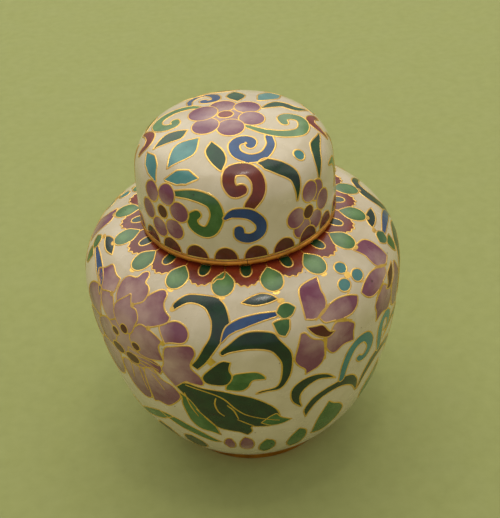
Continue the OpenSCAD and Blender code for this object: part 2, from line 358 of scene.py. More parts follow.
@dataclass(frozen=True)
class Arc:
    """One arc of an outline, in the plane of radius and height."""

    centre_r: float
    centre_z: float
    radius: float
    start: float
    end: float

    @property
    def length(self) -> float:
        """The length of the arc."""
        return self.radius * math.radians(self.end - self.start)


class Outline:
    """A chain of arcs turned round the axis. A place on it is an azimuth and a length from its foot."""

    def __init__(self, arcs: list[Arc]) -> None:
        """Keeps the arcs.

        Args:
            arcs: The arcs from the bottom up.
        """
        self.arcs = arcs
        self.ends = np.cumsum([arc.length for arc in arcs])
        self.total = float(self.ends[-1])

    def profile(self, lengths: np.ndarray) -> tuple[np.ndarray, np.ndarray]:
        """Gives the points and the outward normals at some lengths.

        Args:
            lengths: Lengths from the foot of the outline.

        Returns:
            Points and normals, each with a radius and a height.
        """
        lengths = np.clip(np.asarray(lengths, dtype=float), 0.0, self.total)
        index = np.clip(np.searchsorted(self.ends, lengths), 0, len(self.arcs) - 1)
        table = np.array([[arc.centre_r, arc.centre_z, arc.radius, arc.start] for arc in self.arcs])[index]
        begins = (self.ends - [arc.length for arc in self.arcs])[index]
        angles = np.radians(table[:, 3]) + (lengths - begins) / table[:, 2]
        normals = np.stack([np.cos(angles), np.sin(angles)], axis=1)
        return table[:, :2] + table[:, 2:3] * normals, normals

    def place(self, azimuths: np.ndarray, lengths: np.ndarray, depth: object = 0.0) -> np.ndarray:
        """Gives places in space.

        Args:
            azimuths: Degrees round the axis.
            lengths: Lengths from the foot of the outline.
            depth: How far below the outer face.

        Returns:
            One row of three metres for each place.
        """
        points, normals = self.profile(lengths)
        points = points - np.reshape(depth, (-1, 1)) * normals
        turn = np.radians(azimuths)
        return np.stack(
            [points[:, 0] * np.sin(turn), -points[:, 0] * np.cos(turn), points[:, 1]], axis=1
        ) * MM

    def facing(self, azimuths: np.ndarray, lengths: np.ndarray) -> np.ndarray:
        """Gives the outward directions at some places."""
        normals = self.profile(lengths)[1]
        turn = np.radians(azimuths)
        return np.stack([normals[:, 0] * np.sin(turn), -normals[:, 0] * np.cos(turn), normals[:, 1]], axis=1)


class Chart:
    """A drawing sheet wrapped on an outline: across is azimuth, up is length from the foot."""

    step_across = 2.5
    step_up = 1.0

    def __init__(self, outline: Outline) -> None:
        """Keeps the outline."""
        self.outline = outline

    def unroll(self, points: np.ndarray) -> tuple[np.ndarray, np.ndarray]:
        """Gives the azimuths and lengths of points of the sheet."""
        return points[:, 0], points[:, 1]

    def stretch(self, points: np.ndarray) -> np.ndarray:
        """Gives how many millimetres one unit across is, at points of the sheet."""
        return self.outline.profile(points[:, 1])[0][:, 0] * math.pi / 180


class CrownChart(Chart):
    """A round sheet laid on the crown of the lid from above, in millimetres from its middle."""

    step_across = 1.0

    def unroll(self, points: np.ndarray) -> tuple[np.ndarray, np.ndarray]:
        """Gives the azimuths and lengths of points of the sheet."""
        azimuths = np.degrees(np.arctan2(points[:, 0], -points[:, 1]))
        return azimuths, self.outline.total - np.hypot(points[:, 0], points[:, 1])

    def stretch(self, points: np.ndarray) -> np.ndarray:
        """Gives one, because both ways of this sheet are in millimetres."""
        return np.ones(len(points))


# ---------------------------------------------------------------- drawing


def smooth(
    points: list[Point], stretch: float = 0.6, closed: bool = True, corner: float = 74.0
) -> np.ndarray:
    """Draws a soft curve through points, and keeps the sharp corners.

    Args:
        points: The points that the curve goes through.
        stretch: Millimetres for one unit across, used to judge the corners.
        closed: Whether the curve comes back to its start.
        corner: The turn, in degrees, above which a point is a sharp corner.

    Returns:
        The curve's points.
    """
    knots = np.array(points, dtype=float)
    count = len(knots)
    flat = knots * [stretch, 1.0]
    slopes = []
    for i in range(count):
        before, after = (i - 1) % count, (i + 1) % count
        if not closed and i in (0, count - 1):
            slopes.append(None)
            continue
        way_in, way_out = flat[i] - flat[before], flat[after] - flat[i]
        turn = math.atan2(
            way_in[0] * way_out[1] - way_in[1] * way_out[0], float(np.dot(way_in, way_out))
        )
        slopes.append(None if abs(math.degrees(turn)) > corner else (knots[after] - knots[before]) / 2)
    curve = []
    for i in range(count if closed else count - 1):
        start, end = knots[i], knots[(i + 1) % count]
        leave = slopes[i] if slopes[i] is not None else end - start
        arrive = slopes[(i + 1) % count] if slopes[(i + 1) % count] is not None else end - start
        for t in np.arange(6) / 6:
            curve.append(
                (2 * t**3 - 3 * t**2 + 1) * start
                + (t**3 - 2 * t**2 + t) * leave
                + (3 * t**2 - 2 * t**3) * end
                + (t**3 - t**2) * arrive
            )
    if not closed:
        curve.append(knots[-1])
    return np.array(curve)


def brush(chart: Chart, spine: list[Point], widths: list[float]) -> np.ndarray:
    """Draws a stroke of changing width along a spine.

    Args:
        chart: The sheet it is drawn on.
        spine: The points of the spine.
        widths: Widths in millimetres, spread evenly along the spine.

    Returns:
        The closed outline of the stroke.
    """
    middle = smooth(spine, closed=False, corner=200.0)
    stretch = chart.stretch(middle)
    way = np.gradient(middle, axis=0) * np.stack([stretch, np.ones(len(middle))], axis=1)
    way /= np.linalg.norm(way, axis=1)[:, None]
    half = np.interp(np.linspace(0, 1, len(middle)), np.linspace(0, 1, len(widths)), widths) / 2
    side = np.stack([-way[:, 1] / stretch, way[:, 0]], axis=1) * half[:, None]
    turns = np.radians([-60, -30, 0, 30, 60])[:, None]
    ahead = way[-1] * [1 / stretch[-1], 1.0] * half[-1]
    behind = way[0] * [1 / stretch[0], 1.0] * half[0]
    cap = middle[-1] + np.sin(turns) * side[-1] + np.cos(turns) * ahead
    tail = middle[0] - np.sin(turns) * side[0] - np.cos(turns) * behind
    return np.concatenate([middle - side, cap, (middle + side)[::-1], tail])


def oval(across: float, up: float, half_across: float, half_up: float) -> np.ndarray:
    """Draws an oval round a point."""
    turns = np.linspace(0, 2 * math.pi, 28, endpoint=False)
    return np.stack([across + half_across * np.cos(turns), up + half_up * np.sin(turns)], axis=1)


def inside(points: np.ndarray, loop: np.ndarray) -> np.ndarray:
    """Tells which points lie inside a closed loop.

    Args:
        points: The points to test.
        loop: The corners of the loop.

    Returns:
        True or false for each point.
    """
    result = np.zeros(len(points), dtype=bool)
    ahead = np.roll(loop, -1, axis=0)
    for (x0, y0), (x1, y1) in zip(loop, ahead):
        if y0 == y1:
            continue
        spans = (y0 > points[:, 1]) != (y1 > points[:, 1])
        result ^= spans & (points[:, 0] < (x1 - x0) * (points[:, 1] - y0) / (y1 - y0) + x0)
    return result


@dataclass
class Cell:
    """One cell of enamel: its piece, its finish and its outline on a sheet."""

    piece: str
    slot: Slot
    loop: np.ndarray
    chart: Chart
    pale_at: Point | None = None
    reach: float = 10.0
    wired: bool = True
    tone: float = 1.0
    rank: int = 0

    def __post_init__(self) -> None:
        """Turns the loop so that it runs anticlockwise."""
        ahead = np.roll(self.loop, -1, axis=0)
        area = np.sum(self.loop[:, 0] * ahead[:, 1] - ahead[:, 0] * self.loop[:, 1])
        if area < 0:
            self.loop = self.loop[::-1]

    def overlaps(self, other: "Cell") -> bool:
        """Tells whether this cell and another share any of the sheet."""
        if self.chart is not other.chart:
            return False
        low, high = self.loop.min(axis=0), self.loop.max(axis=0)
        other_low, other_high = other.loop.min(axis=0), other.loop.max(axis=0)
        if (low > other_high).any() or (high < other_low).any():
            return False
        return bool(inside(self.core(), other.core()).any() or inside(other.core(), self.core()).any())

    def core(self) -> np.ndarray:
        """Gives the outline drawn in a little, so that cells that only touch don't overlap."""
        middle = self.loop.mean(axis=0)
        return middle + (self.loop - middle) * 0.97


@dataclass(frozen=True)
class Placement:
    """Where a motif goes on the wall: turned round the axis, and perhaps mirrored."""

    turn: float = 0.0
    mirrored: bool = False

    def __call__(self, loop: np.ndarray) -> np.ndarray:
        """Moves a loop to its place."""
        moved = np.array(loop, dtype=float)
        moved[:, 0] = self.turn + (-moved[:, 0] if self.mirrored else moved[:, 0])
        return moved


class Picture:
    """The cells drawn on one body. A cell drawn earlier lies over the later ones."""

    def __init__(self) -> None:
        """Starts with no cells."""
        self.cells: list[Cell] = []

    def draw(
        self,
        piece: str,
        slot: Slot,
        loop: np.ndarray,
        chart: Chart,
        place: Placement = Placement(),
        pale_at: Point | None = None,
        reach: float = 10.0,
        wired: bool = True,
        tone: float = 1.0,
    ) -> None:
        """Adds a cell.

        Args:
            piece: The piece that the cell belongs to.
            slot: Its finish.
            loop: Its outline.
            chart: The sheet that it is drawn on.
            place: Where its motif goes.
            pale_at: The point where its colour is palest.
            reach: How far from there the colour is fully deep.
            wired: Whether a wire runs round it.
            tone: How deep its colour is where it has no palest point, from 0 to 1.
        """
        anchor = None if pale_at is None else tuple(place(np.array([pale_at]))[0])
        self.cells.append(Cell(piece, slot, place(loop), chart, anchor, reach, wired, tone))

    def settle(self) -> None:
        """Ranks the cells, so that of two that overlap the earlier one stands a little higher."""
        for i in range(len(self.cells) - 1, -1, -1):
            below = [other.rank for other in self.cells[i + 1 :] if self.cells[i].overlaps(other)]
            self.cells[i].rank = min(1 + max(below), 4) if below else 0


# ---------------------------------------------------------------- meshes


def select_only(piece: bpy.types.Object) -> None:
    """Selects one object and makes it the active one."""
    bpy.ops.object.select_all(action="DESELECT")
    piece.select_set(True)
    bpy.context.view_layer.objects.active = piece


def new_piece(name: str, places: object, faces: object) -> bpy.types.Object:
    """Makes an object from places and faces.

    Args:
        name: The name of the object.
        places: Its vertices.
        faces: The vertex numbers of its faces.

    Returns:
        The object.
    """
    mesh = bpy.data.meshes.new(name)
    mesh.from_pydata([tuple(place) for place in places], [], [tuple(face) for face in faces])
    mesh.update()
    piece = bpy.data.objects.new(name, mesh)
    bpy.context.scene.collection.objects.link(piece)
    return piece


@dataclass
class EnamelLayer:
    """Turns the cells of a picture into pieces of enamel."""

    picture: Picture
    top: float = 0.075
    lift: float = 0.014
    thickness: float = 0.3

    def cut_sheet(
        self, chart: Chart, cells: list[Cell]
    ) -> tuple[np.ndarray, list[tuple[int, ...]], np.ndarray]:
        """Lays the cells out flat and cuts them along a grid, so that they can be wrapped.

        Args:
            chart: The sheet.
            cells: The cells on it.

        Returns:
            The flat vertices, the faces and the cell of each face.
        """
        places, faces, numbers = [], [], []
        for number, cell in enumerate(cells):
            start = len(places)
            places.extend((x, y, 0.0) for x, y in cell.loop)
            faces.append(tuple(range(start, start + len(cell.loop))))
            numbers.append(number)
        sheet = new_piece("sheet", places, faces)
        attribute = sheet.data.attributes.new("cell", "INT", "FACE")
        attribute.data.foreach_set("value", numbers)
        flat = np.array(places)
        select_only(sheet)
        bpy.ops.object.mode_set(mode="EDIT")
        bpy.ops.mesh.select_all(action="SELECT")
        bpy.ops.mesh.quads_convert_to_tris(quad_method="BEAUTY", ngon_method="BEAUTY")
        for axis, step in ((0, chart.step_across), (1, chart.step_up)):
            low, high = flat[:, axis].min(), flat[:, axis].max()
            normal = (1, 0, 0) if axis == 0 else (0, 1, 0)
            for line in np.arange(math.ceil(low / step), high / step):
                at = (line * step, 0, 0) if axis == 0 else (0, line * step, 0)
                bpy.ops.mesh.select_all(action="SELECT")
                bpy.ops.mesh.bisect(plane_co=at, plane_no=normal)
        bpy.ops.object.mode_set(mode="OBJECT")
        mesh = sheet.data
        vertices = np.empty(len(mesh.vertices) * 3)
        mesh.vertices.foreach_get("co", vertices)
        owners = np.empty(len(mesh.polygons), dtype=int)
        mesh.attributes["cell"].data.foreach_get("value", owners)
        polygons = [tuple(face.vertices) for face in mesh.polygons]
        bpy.data.objects.remove(sheet)
        return vertices.reshape(-1, 3)[:, :2], polygons, owners

    def wrap(
        self,
        name: str,
        chart: Chart,
        cells: list[Cell],
        flat: np.ndarray,
        faces: list[tuple[int, ...]],
        owners: np.ndarray,
    ) -> bpy.types.Object:
        """Wraps some flat faces on the outline and gives them their thickness.

        Args:
            name: The piece that is wrapped.
            chart: The sheet.
            cells: The cells of the sheet.
            flat: The flat vertices.
            faces: The faces of the sheet.
            owners: The cell of each face.

        Returns:
            The piece.
        """
        mine = [i for i, owner in enumerate(owners) if cells[owner].piece == name]
        used = sorted({vertex for i in mine for vertex in faces[i]})
        number = {vertex: i for i, vertex in enumerate(used)}
        owner_of = np.zeros(len(used), dtype=int)
        for i in mine:
            for vertex in faces[i]:
                owner_of[number[vertex]] = owners[i]
        sheet_points = flat[used]
        azimuths, lengths = chart.unroll(sheet_points)
        depth = np.array([self.top - self.lift * cells[owner].rank for owner in owner_of])
        places = chart.outline.place(azimuths, lengths, depth)
        piece = new_piece(name, places, [[number[v] for v in faces[i]] for i in mine])
        shade = np.array([cells[owner].tone for owner in owner_of])
        for row, owner in enumerate(owner_of):
            anchor = cells[owner].pale_at
            if anchor is not None:
                across, up = chart.unroll(np.array([anchor]))
                gap = np.linalg.norm(places[row] - chart.outline.place(across, up)[0]) / MM
                shade[row] = min(1.0, gap / cells[owner].reach)
        attribute = piece.data.attributes.new("shade", "FLOAT", "POINT")
        attribute.data.foreach_set("value", shade)
        self.thicken(piece, chart.outline)
        return piece

    def thicken(self, piece: bpy.types.Object, outline: Outline) -> None:
        """Gives a wrapped sheet its thickness, and shades its face as the true outline.

        Args:
            piece: The wrapped sheet.
            outline: The outline that it follows.
        """
        select_only(piece)
        wall = piece.modifiers.new("wall", "SOLIDIFY")
        wall.thickness = self.thickness * MM
        wall.offset = -1.0
        bpy.ops.object.modifier_apply(modifier=wall.name)
        mesh = piece.data
        mesh.shade_smooth()
        normals = np.zeros((len(mesh.loops), 3))
        places = np.empty(len(mesh.vertices) * 3)
        mesh.vertices.foreach_get("co", places)
        places = places.reshape(-1, 3) / MM
        radius = np.hypot(places[:, 0], places[:, 1])
        true = np.zeros_like(places)
        spare = np.full(len(places), np.inf)
        for arc in outline.arcs:
            away = np.stack([radius - arc.centre_r, places[:, 2] - arc.centre_z], axis=1)
            reach = np.linalg.norm(away, axis=1)
            angle = np.degrees(np.arctan2(away[:, 1], away[:, 0]))
            miss = np.maximum(0, np.maximum(arc.start - angle, angle - arc.end)) + np.abs(reach - arc.radius)
            better = miss < spare
            spare = np.where(better, miss, spare)
            unit = away / reach[:, None]
            safe = np.maximum(radius, 1e-6)
            normal = np.stack(
                [unit[:, 0] * places[:, 0] / safe, unit[:, 0] * places[:, 1] / safe, unit[:, 1]], axis=1
            )
            true = np.where(better[:, None], normal, true)
        for face in mesh.polygons:
            outward = true[face.vertices[0]]
            for loop in face.loop_indices:
                vertex = mesh.loops[loop].vertex_index
                normals[loop] = true[vertex] if face.normal.dot(Vector(outward)) > OUTWARD else face.normal
        mesh.normals_split_custom_set([tuple(row) for row in normals])

    def build(self) -> dict[str, bpy.types.Object]:
        """Makes every piece of the picture.

        Returns:
            The pieces by name.
        """
        self.picture.settle()
        pieces: dict[str, list[bpy.types.Object]] = {}
        charts = []
        for cell in self.picture.cells:
            if not any(chart is cell.chart for chart in charts):
                charts.append(cell.chart)
        for chart in charts:
            cells = [cell for cell in self.picture.cells if cell.chart is chart]
            flat, faces, owners = self.cut_sheet(chart, cells)
            for name in dict.fromkeys(cell.piece for cell in cells):
                pieces.setdefault(name, []).append(self.wrap(name, chart, cells, flat, faces, owners))
        return {name: self.joined(name, parts) for name, parts in pieces.items()}

    def joined(self, name: str, parts: list[bpy.types.Object]) -> bpy.types.Object:
        """Joins the parts of a piece that lie on different sheets."""
        select_only(parts[0])
        for part in parts[1:]:
            part.select_set(True)
        if len(parts) > 1:
            bpy.ops.object.join()
        parts[0].name = name
        return parts[0]


@dataclass
class WireLayer:
    """Lays a gilt wire round every cell of a picture, left out where another cell covers it."""

    picture: Picture
    width: float = 0.4
    step: float = 0.42
    near: float = 0.24
    shoulder: float = 0.09
    crown: float = 0.015
    foot: float = 0.4
    grid: float = 0.6
    taken: dict[tuple[int, int, int], list[np.ndarray]] = field(default_factory=dict)

    def walk(self, cell: Cell) -> tuple[np.ndarray, np.ndarray]:
        """Steps along the outline of a cell.

        Args:
            cell: The cell.

        Returns:
            The steps on the sheet, and their places in space in millimetres.
        """
        loop = np.concatenate([cell.loop, cell.loop[:1]])
        places = cell.chart.outline.place(*cell.chart.unroll(loop)) / MM
        run = np.concatenate([[0.0], np.cumsum(np.linalg.norm(np.diff(places, axis=0), axis=1))])
        count = max(8, int(run[-1] / self.step))
        at = np.linspace(0, run[-1], count, endpoint=False)
        steps = np.stack([np.interp(at, run, loop[:, 0]), np.interp(at, run, loop[:, 1])], axis=1)
        return steps, cell.chart.outline.place(*cell.chart.unroll(steps)) / MM

    def crowded(self, place: np.ndarray) -> bool:
        """Tells whether a wire already runs by a place."""
        key = tuple(np.floor(place / self.grid).astype(int))
        for dx in (-1, 0, 1):
            for dy in (-1, 0, 1):
                for dz in (-1, 0, 1):
                    for other in self.taken.get((key[0] + dx, key[1] + dy, key[2] + dz), ()):
                        if np.sum((place - other) ** 2) < self.near**2:
                            return True
        return False

    def strands(self, number: int) -> list[tuple[np.ndarray, bool]]:
        """Finds the runs of wire of one cell.

        Args:
            number: The number of the cell in the picture.

        Returns:
            Each run's steps on the sheet, and whether it is a closed ring.
        """
        cell = self.picture.cells[number]
        steps, places = self.walk(cell)
        keep = np.ones(len(steps), dtype=bool)
        for upper in self.picture.cells[:number]:
            if upper.chart is cell.chart:
                low, high = upper.loop.min(axis=0), upper.loop.max(axis=0)
                if (steps.max(axis=0) > low).all() and (steps.min(axis=0) < high).all():
                    keep &= ~inside(steps, upper.loop)
        for i in np.flatnonzero(keep):
            keep[i] = not self.crowded(places[i])
        for i in np.flatnonzero(keep):
            self.taken.setdefault(tuple(np.floor(places[i] / self.grid).astype(int)), []).append(places[i])
        if keep.all():
            return [(steps, True)]
        runs = []
        count = len(steps)
        for i in range(count):
            if keep[i] and not keep[i - 1]:
                end = i
                while keep[(end + 1) % count]:
                    end += 1
                picked = [j % count for j in range(i - 1, end + 2)]
                if len(picked) > 3:
                    runs.append((steps[picked], False))
        return runs

    def build(self, name: str) -> bpy.types.Object:
        """Makes all the wires as one piece.

        Args:
            name: The name of the piece.

        Returns:
            The piece.
        """
        half = self.width / 2
        section = [
            (-half, self.shoulder),
            (-half * 0.5, self.crown),
            (half * 0.5, self.crown),
            (half, self.shoulder),
            (0, self.foot),
        ]
        vertices, faces = [], []
        for number, cell in enumerate(self.picture.cells):
            if not cell.wired:
                continue
            for steps, ring in self.strands(number):
                azimuths, lengths = cell.chart.unroll(steps)
                places = cell.chart.outline.place(azimuths, lengths) / MM
                normals = cell.chart.outline.facing(azimuths, lengths)
                if ring:
                    way = np.roll(places, -1, axis=0) - np.roll(places, 1, axis=0)
                else:
                    way = np.gradient(places, axis=0)
                side = np.cross(normals, way)
                side /= np.maximum(np.linalg.norm(side, axis=1), 1e-9)[:, None]
                start = len(vertices)
                for place, out, across in zip(places, normals, side):
                    vertices.extend((place + across * over - out * down) * MM for over, down in section)
                size = len(section)
                rows = len(places)
                for i in range(rows if ring else rows - 1):
                    here, ahead = start + i * size, start + (i + 1) % rows * size
                    for j in range(size):
                        k = (j + 1) % size
                        faces.append((here + j, here + k, ahead + k, ahead + j))
                if not ring:
                    faces.append(tuple(start + j for j in reversed(range(size))))
                    faces.append(tuple(start + (rows - 1) * size + j for j in range(size)))
        piece = new_piece(name, vertices, faces)
        select_only(piece)
        bpy.ops.object.mode_set(mode="EDIT")
        bpy.ops.mesh.select_all(action="SELECT")
        bpy.ops.mesh.normals_make_consistent(inside=False)
        bpy.ops.object.mode_set(mode="OBJECT")
        bpy.ops.object.shade_smooth_by_angle(angle=math.radians(WIRE_SMOOTH))
        return piece


def turned(
    name: str, profile: list[Point], steps: int = 144, start: float = 0.0, sweep: float = 360.0
) -> bpy.types.Object:
    """Turns a closed profile round the axis.

    Args:
        name: The name of the piece.
        profile: Radius and height of each corner, in millimetres.
        steps: How many steps the turn has.
        start: The azimuth that the turn starts from.
        sweep: How far it goes.

    Returns:
        The piece.
    """
    angle = math.radians(start)
    places = [(r * math.sin(angle) * MM, -r * math.cos(angle) * MM, z * MM) for r, z in profile]
    full = sweep >= 360.0
    piece = new_piece(name, places, [tuple(range(len(places)))])
    select_only(piece)
    bpy.ops.object.mode_set(mode="EDIT")
    bpy.ops.mesh.select_all(action="SELECT")
    if full:
        bpy.ops.mesh.delete(type="ONLY_FACE")
        bpy.ops.mesh.select_all(action="SELECT")
    bpy.ops.mesh.spin(steps=steps, angle=math.radians(sweep), center=(0, 0, 0), axis=(0, 0, 1))
    bpy.ops.mesh.select_all(action="SELECT")
    bpy.ops.mesh.remove_doubles(threshold=1e-6)
    bpy.ops.mesh.normals_make_consistent(inside=False)
    bpy.ops.object.mode_set(mode="OBJECT")
    bpy.ops.object.shade_smooth_by_angle(angle=math.radians(TURNED_SMOOTH))
    return piece


def shell_profile(outline: Outline, low: float, high: float, outer: float, inner: float) -> list[Point]:
    """Gives the closed profile of a layer between two depths of an outline.

    Args:
        outline: The outline.
        low: The length that the layer starts from.
        high: The length that it ends at.
        outer: The depth of its outer face.
        inner: The depth of its inner face.

    Returns:
        The corners of the profile.
    """
    lengths = np.linspace(low, high, PROFILE_POINTS)
    points, normals = outline.profile(lengths)
    front = points - outer * normals
    back = points - inner * normals
    return [tuple(row) for row in np.concatenate([front, back[::-1]])]


# ---------------------------------------------------------------- the jar


class JarPicture(Picture):
    """The flowers, leaves and collar of the jar."""

    def __init__(self, chart: Chart) -> None:
        """Draws the whole picture.

        Args:
            chart: The sheet round the jar.
        """
        super().__init__()
        self.chart = chart
        middle = 43.5
        self.collar()
        front = Placement()
        front_mirror = Placement(2 * middle, True)
        back = Placement(200.0)
        back_mirror = Placement(2 * middle + 200.0, True)
        self.peony(front)
        self.peony(Placement(97.0, True))
        for place in (front, front_mirror, back, back_mirror):
            self.berries(place)
            self.blossom(place)
            self.calyx(place)
            if place is not back_mirror:
                self.commas(place)
                self.knot(place)
            self.scrolls(place)
            self.low_leaves(place)
            if place is not back_mirror:
                self.veined_leaf(place)

    def leaf(
        self, points: list[Point], place: Placement, slot: Slot = Slot.DARK_GREEN, tone: float = 0.85
    ) -> None:
        """Draws one leaf."""
        piece = {
            Slot.DARK_GREEN: "dark_leaves",
            Slot.LIGHT_GREEN: "light_leaves",
            Slot.TURQUOISE: "turquoise_scrolls",
            Slot.COBALT: "cobalt_stems",
        }[slot]
        self.draw(piece, slot, smooth(points), self.chart, place, tone=tone)

    def pool(self, across: float, up: float, half_across: float, half_up: float, place: Placement) -> None:
        """Draws a small pool of gilt where wires meet."""
        self.draw(
            "jar_gilt_pools",
            Slot.WIRE,
            oval(across, up, half_across, half_up),
            self.chart,
            place,
            wired=False,
        )

    def collar(self) -> None:
        """Draws the leaves, eyes and lobed red band round the neck."""
        count = 16
        pitch = 360 / count
        first = -9.9
        for k in range(count):
            place = Placement(first + pitch * k)
            leaf = [(0, 74.7), (2.4, 73.8), (4.6, 72.6), (5.4, 71.4), (4.6, 69.6), (2.6, 68.4), (0, 68.0)]
            leaf += [(-across, up) for across, up in leaf[-2:0:-1]]
            self.draw(
                "collar_leaves_enamel",
                Slot.LIGHT_GREEN,
                smooth(leaf),
                self.chart,
                place,
                (0, 71.4),
                4.5,
            )
        for k in range(count):
            place = Placement(first + pitch * (k + 0.5))
            eye = [(-3.1, 76.2), (-3.0, 74.4), (-1.7, 73.2), (0, 72.9), (1.7, 73.2), (3.0, 74.4), (3.1, 76.2)]
            self.draw("collar_eyes_enamel", Slot.DARK_GREEN, smooth(eye), self.chart, place, tone=0.6)
        for k in range(count):
            place = Placement(first + pitch * k)
            lobe = [(0, 73.0), (3.2, 72.4), (4.9, 71.2), (6.4, 71.4), (8.2, 70.4), (9.7, 70.7)]
            band = [(0, 78.3)] + lobe + [(pitch / 2, 70.0)]
            band += [(pitch - across, up) for across, up in lobe[::-1]] + [(pitch, 78.3)]
            self.draw("collar_band_enamel", Slot.BRICK, smooth(band), self.chart, place, tone=0.3)
            self.pool(0, 67.7, 1.5, 0.5, place)

    def peony(self, place: Placement) -> None:
        """Draws one large flower."""
        for across, up in ((-51.7, 52.6), (-46.8, 54.9), (-41.7, 51.6)):
            self.draw("peony_seeds_enamel", Slot.BRICK, oval(across, up, 1.9, 1.2), self.chart, place)
        for across, up in ((-52.0, 47.4), (-44.6, 47.0)):
            self.draw("peony_seeds_enamel", Slot.BRICK, oval(across, up, 3.3, 1.5), self.chart, place)
        for across, up in ((-45, 61.3), (-36, 58), (-28.5, 63.7), (-30, 55.6), (-56.7, 60.6)):
            self.pool(across, up, 0.9, 0.6, place)
        for spine in (
            [(-43.0, 48.6), (-38.0, 49.0), (-32.8, 48.4)],
            [(-42.5, 47.6), (-37.6, 47.6), (-33.2, 46.9)],
            [(-42.0, 46.8), (-37.6, 46.2), (-35.0, 45.4)],
            [(-42.6, 45.6), (-42.0, 41), (-41.4, 37.2)],
            [(-46.4, 45.2), (-46.6, 42), (-47.2, 39.4)],
            [(-36.6, 44.6), (-34.0, 42), (-32.8, 40.4)],
        ):
            stripe = brush(self.chart, spine, [0.3, 0.32, 0.2])
            self.draw("jar_gilt_pools", Slot.WIRE, stripe, self.chart, place, wired=False)
        middle = (-47.0, 53.0)
        petals = [
            (
                [
                    (-49.2, 62.4), (-47.8, 63.4), (-45.3, 61), (-42.8, 60.7), (-41.1, 59.1),
                    (-41.7, 57.4), (-43.3, 54.9), (-47, 54.2), (-51.4, 56), (-53.3, 59.1),
                ],
                (-47, 57),
                9.0,
            ),
            (
                [
                    (-41.1, 57.4), (-38.5, 58.2), (-33.5, 57.2), (-30, 55.8), (-31.6, 54.3),
                    (-30.3, 50.5), (-33, 50), (-37, 49.5), (-41, 50), (-44, 52.5), (-43.5, 55),
                ],
                (-41, 54),
                9.0,
            ),
            (
                [
                    (-62.8, 59.4), (-60, 60.2), (-56.7, 60.7), (-54.4, 59.4), (-51.4, 56),
                    (-55.6, 54.6), (-61.1, 56.9),
                ],
                (-54, 57),
                9.0,
            ),
            (
                [
                    (-54.4, 61.3), (-55.3, 64.6), (-53.9, 66.3), (-50, 67.1), (-49.2, 68.8),
                    (-47.2, 69.6), (-45.3, 68.8), (-44.7, 67.1), (-42.2, 66.6), (-40.6, 65.2),
                    (-41.1, 63.2), (-43.9, 61.9), (-45.6, 61.3), (-48.1, 63.2), (-49.4, 60.7),
                    (-52.8, 59.9),
                ],
                (-48, 62),
                8.5,
            ),
            (
                [
                    (-45, 61), (-41.7, 63.5), (-38.9, 65.7), (-36.1, 67.1), (-34, 67.2), (-32.5, 66.3),
                    (-32.4, 64.5), (-31, 63), (-28.3, 61.9), (-29.2, 60.5), (-33.3, 59), (-36.7, 58.2),
                    (-40, 58), (-42.5, 59),
                ],
                (-42, 60),
                9.0,
            ),
            (
                [
                    (-31.7, 59.4), (-28.9, 60.7), (-25.6, 61.4), (-22.2, 60.7), (-20.7, 59.1),
                    (-21.4, 57.4), (-23.3, 56.6), (-26.7, 56.3), (-29.2, 55.7), (-31.1, 58),
                ],
                (-34, 58),
                6.0,
            ),
            (
                [
                    (-29.4, 54.4), (-26.1, 55.5), (-22.2, 56.3), (-19.4, 56.3), (-18.4, 54.6),
                    (-20.3, 51.6), (-20, 49.9), (-17.8, 48.2), (-16.7, 46.3), (-17.5, 45.2),
                    (-21.7, 45.5), (-23.1, 45.7), (-27.5, 43), (-31.7, 47.4), (-30.6, 49.6),
                ],
                (-29, 50),
                9.0,
            ),
            (
                [
                    (-71.7, 61.9), (-67.8, 63.8), (-65.6, 65.5), (-60, 64.6), (-56.7, 64.6),
                    (-55.8, 62.4), (-56.7, 60.7), (-62.8, 59.6), (-66.7, 60.2),
                ],
                (-57, 61.5),
                9.0,
            ),
            (
                [
                    (-62, 59), (-66, 59.6), (-70.5, 58.6), (-73.4, 56.2), (-73, 53.4), (-68.5, 52.2),
                    (-61, 53.2),
                ],
                (-60, 56),
                9.0,
            ),
            (
                [
                    (-56, 54.4), (-61, 53), (-64, 50.2), (-62, 47.4), (-56.6, 46.6), (-53, 49),
                    (-51.6, 52),
                ],
                (-54, 52),
                8.0,
            ),
            (
                [
                    (-62, 52.6), (-68.5, 51.9), (-73, 50.4), (-74.4, 47.2), (-71.6, 44.6),
                    (-66.5, 44.4), (-62.5, 46.9),
                ],
                (-62, 49),
                8.0,
            ),
            (
                [
                    (-46, 50), (-41, 49.8), (-34.5, 49.4), (-31, 48), (-32.8, 45.6), (-36, 46.8),
                    (-41, 45.2), (-47, 44.8),
                ],
                (-44, 50),
                8.0,
            ),
            (
                [
                    (-40, 45.2), (-35.6, 46.9), (-32.8, 44.1), (-28.9, 43), (-26.7, 40.7),
                    (-26.7, 39.1), (-28.9, 36.9), (-33.3, 34.1), (-37.2, 34.4), (-40, 33.5),
                ],
                (-38, 45),
                9.0,
            ),
            (
                [
                    (-40.4, 45), (-40.3, 38), (-41, 34.4), (-45, 33.2), (-49.4, 35.4), (-51.6, 39.6),
                    (-51.4, 44), (-47, 45.4),
                ],
                (-45, 45),
                9.0,
            ),
            (
                [
                    (-52, 45.6), (-52.6, 40), (-55.5, 36.6), (-60.5, 35.8), (-65, 38.4), (-67, 42.4),
                    (-63, 45.8), (-57, 46.6),
                ],
                (-55, 45),
                9.0,
            ),
        ]
        for points, pale_at, reach in petals:
            self.draw("peony_petals_enamel", Slot.MAUVE, smooth(points), self.chart, place, pale_at, reach)
        self.draw(
            "peony_petals_enamel", Slot.MAUVE, oval(*middle, 9.5, 6.8), self.chart, place, middle, 14.0
        )

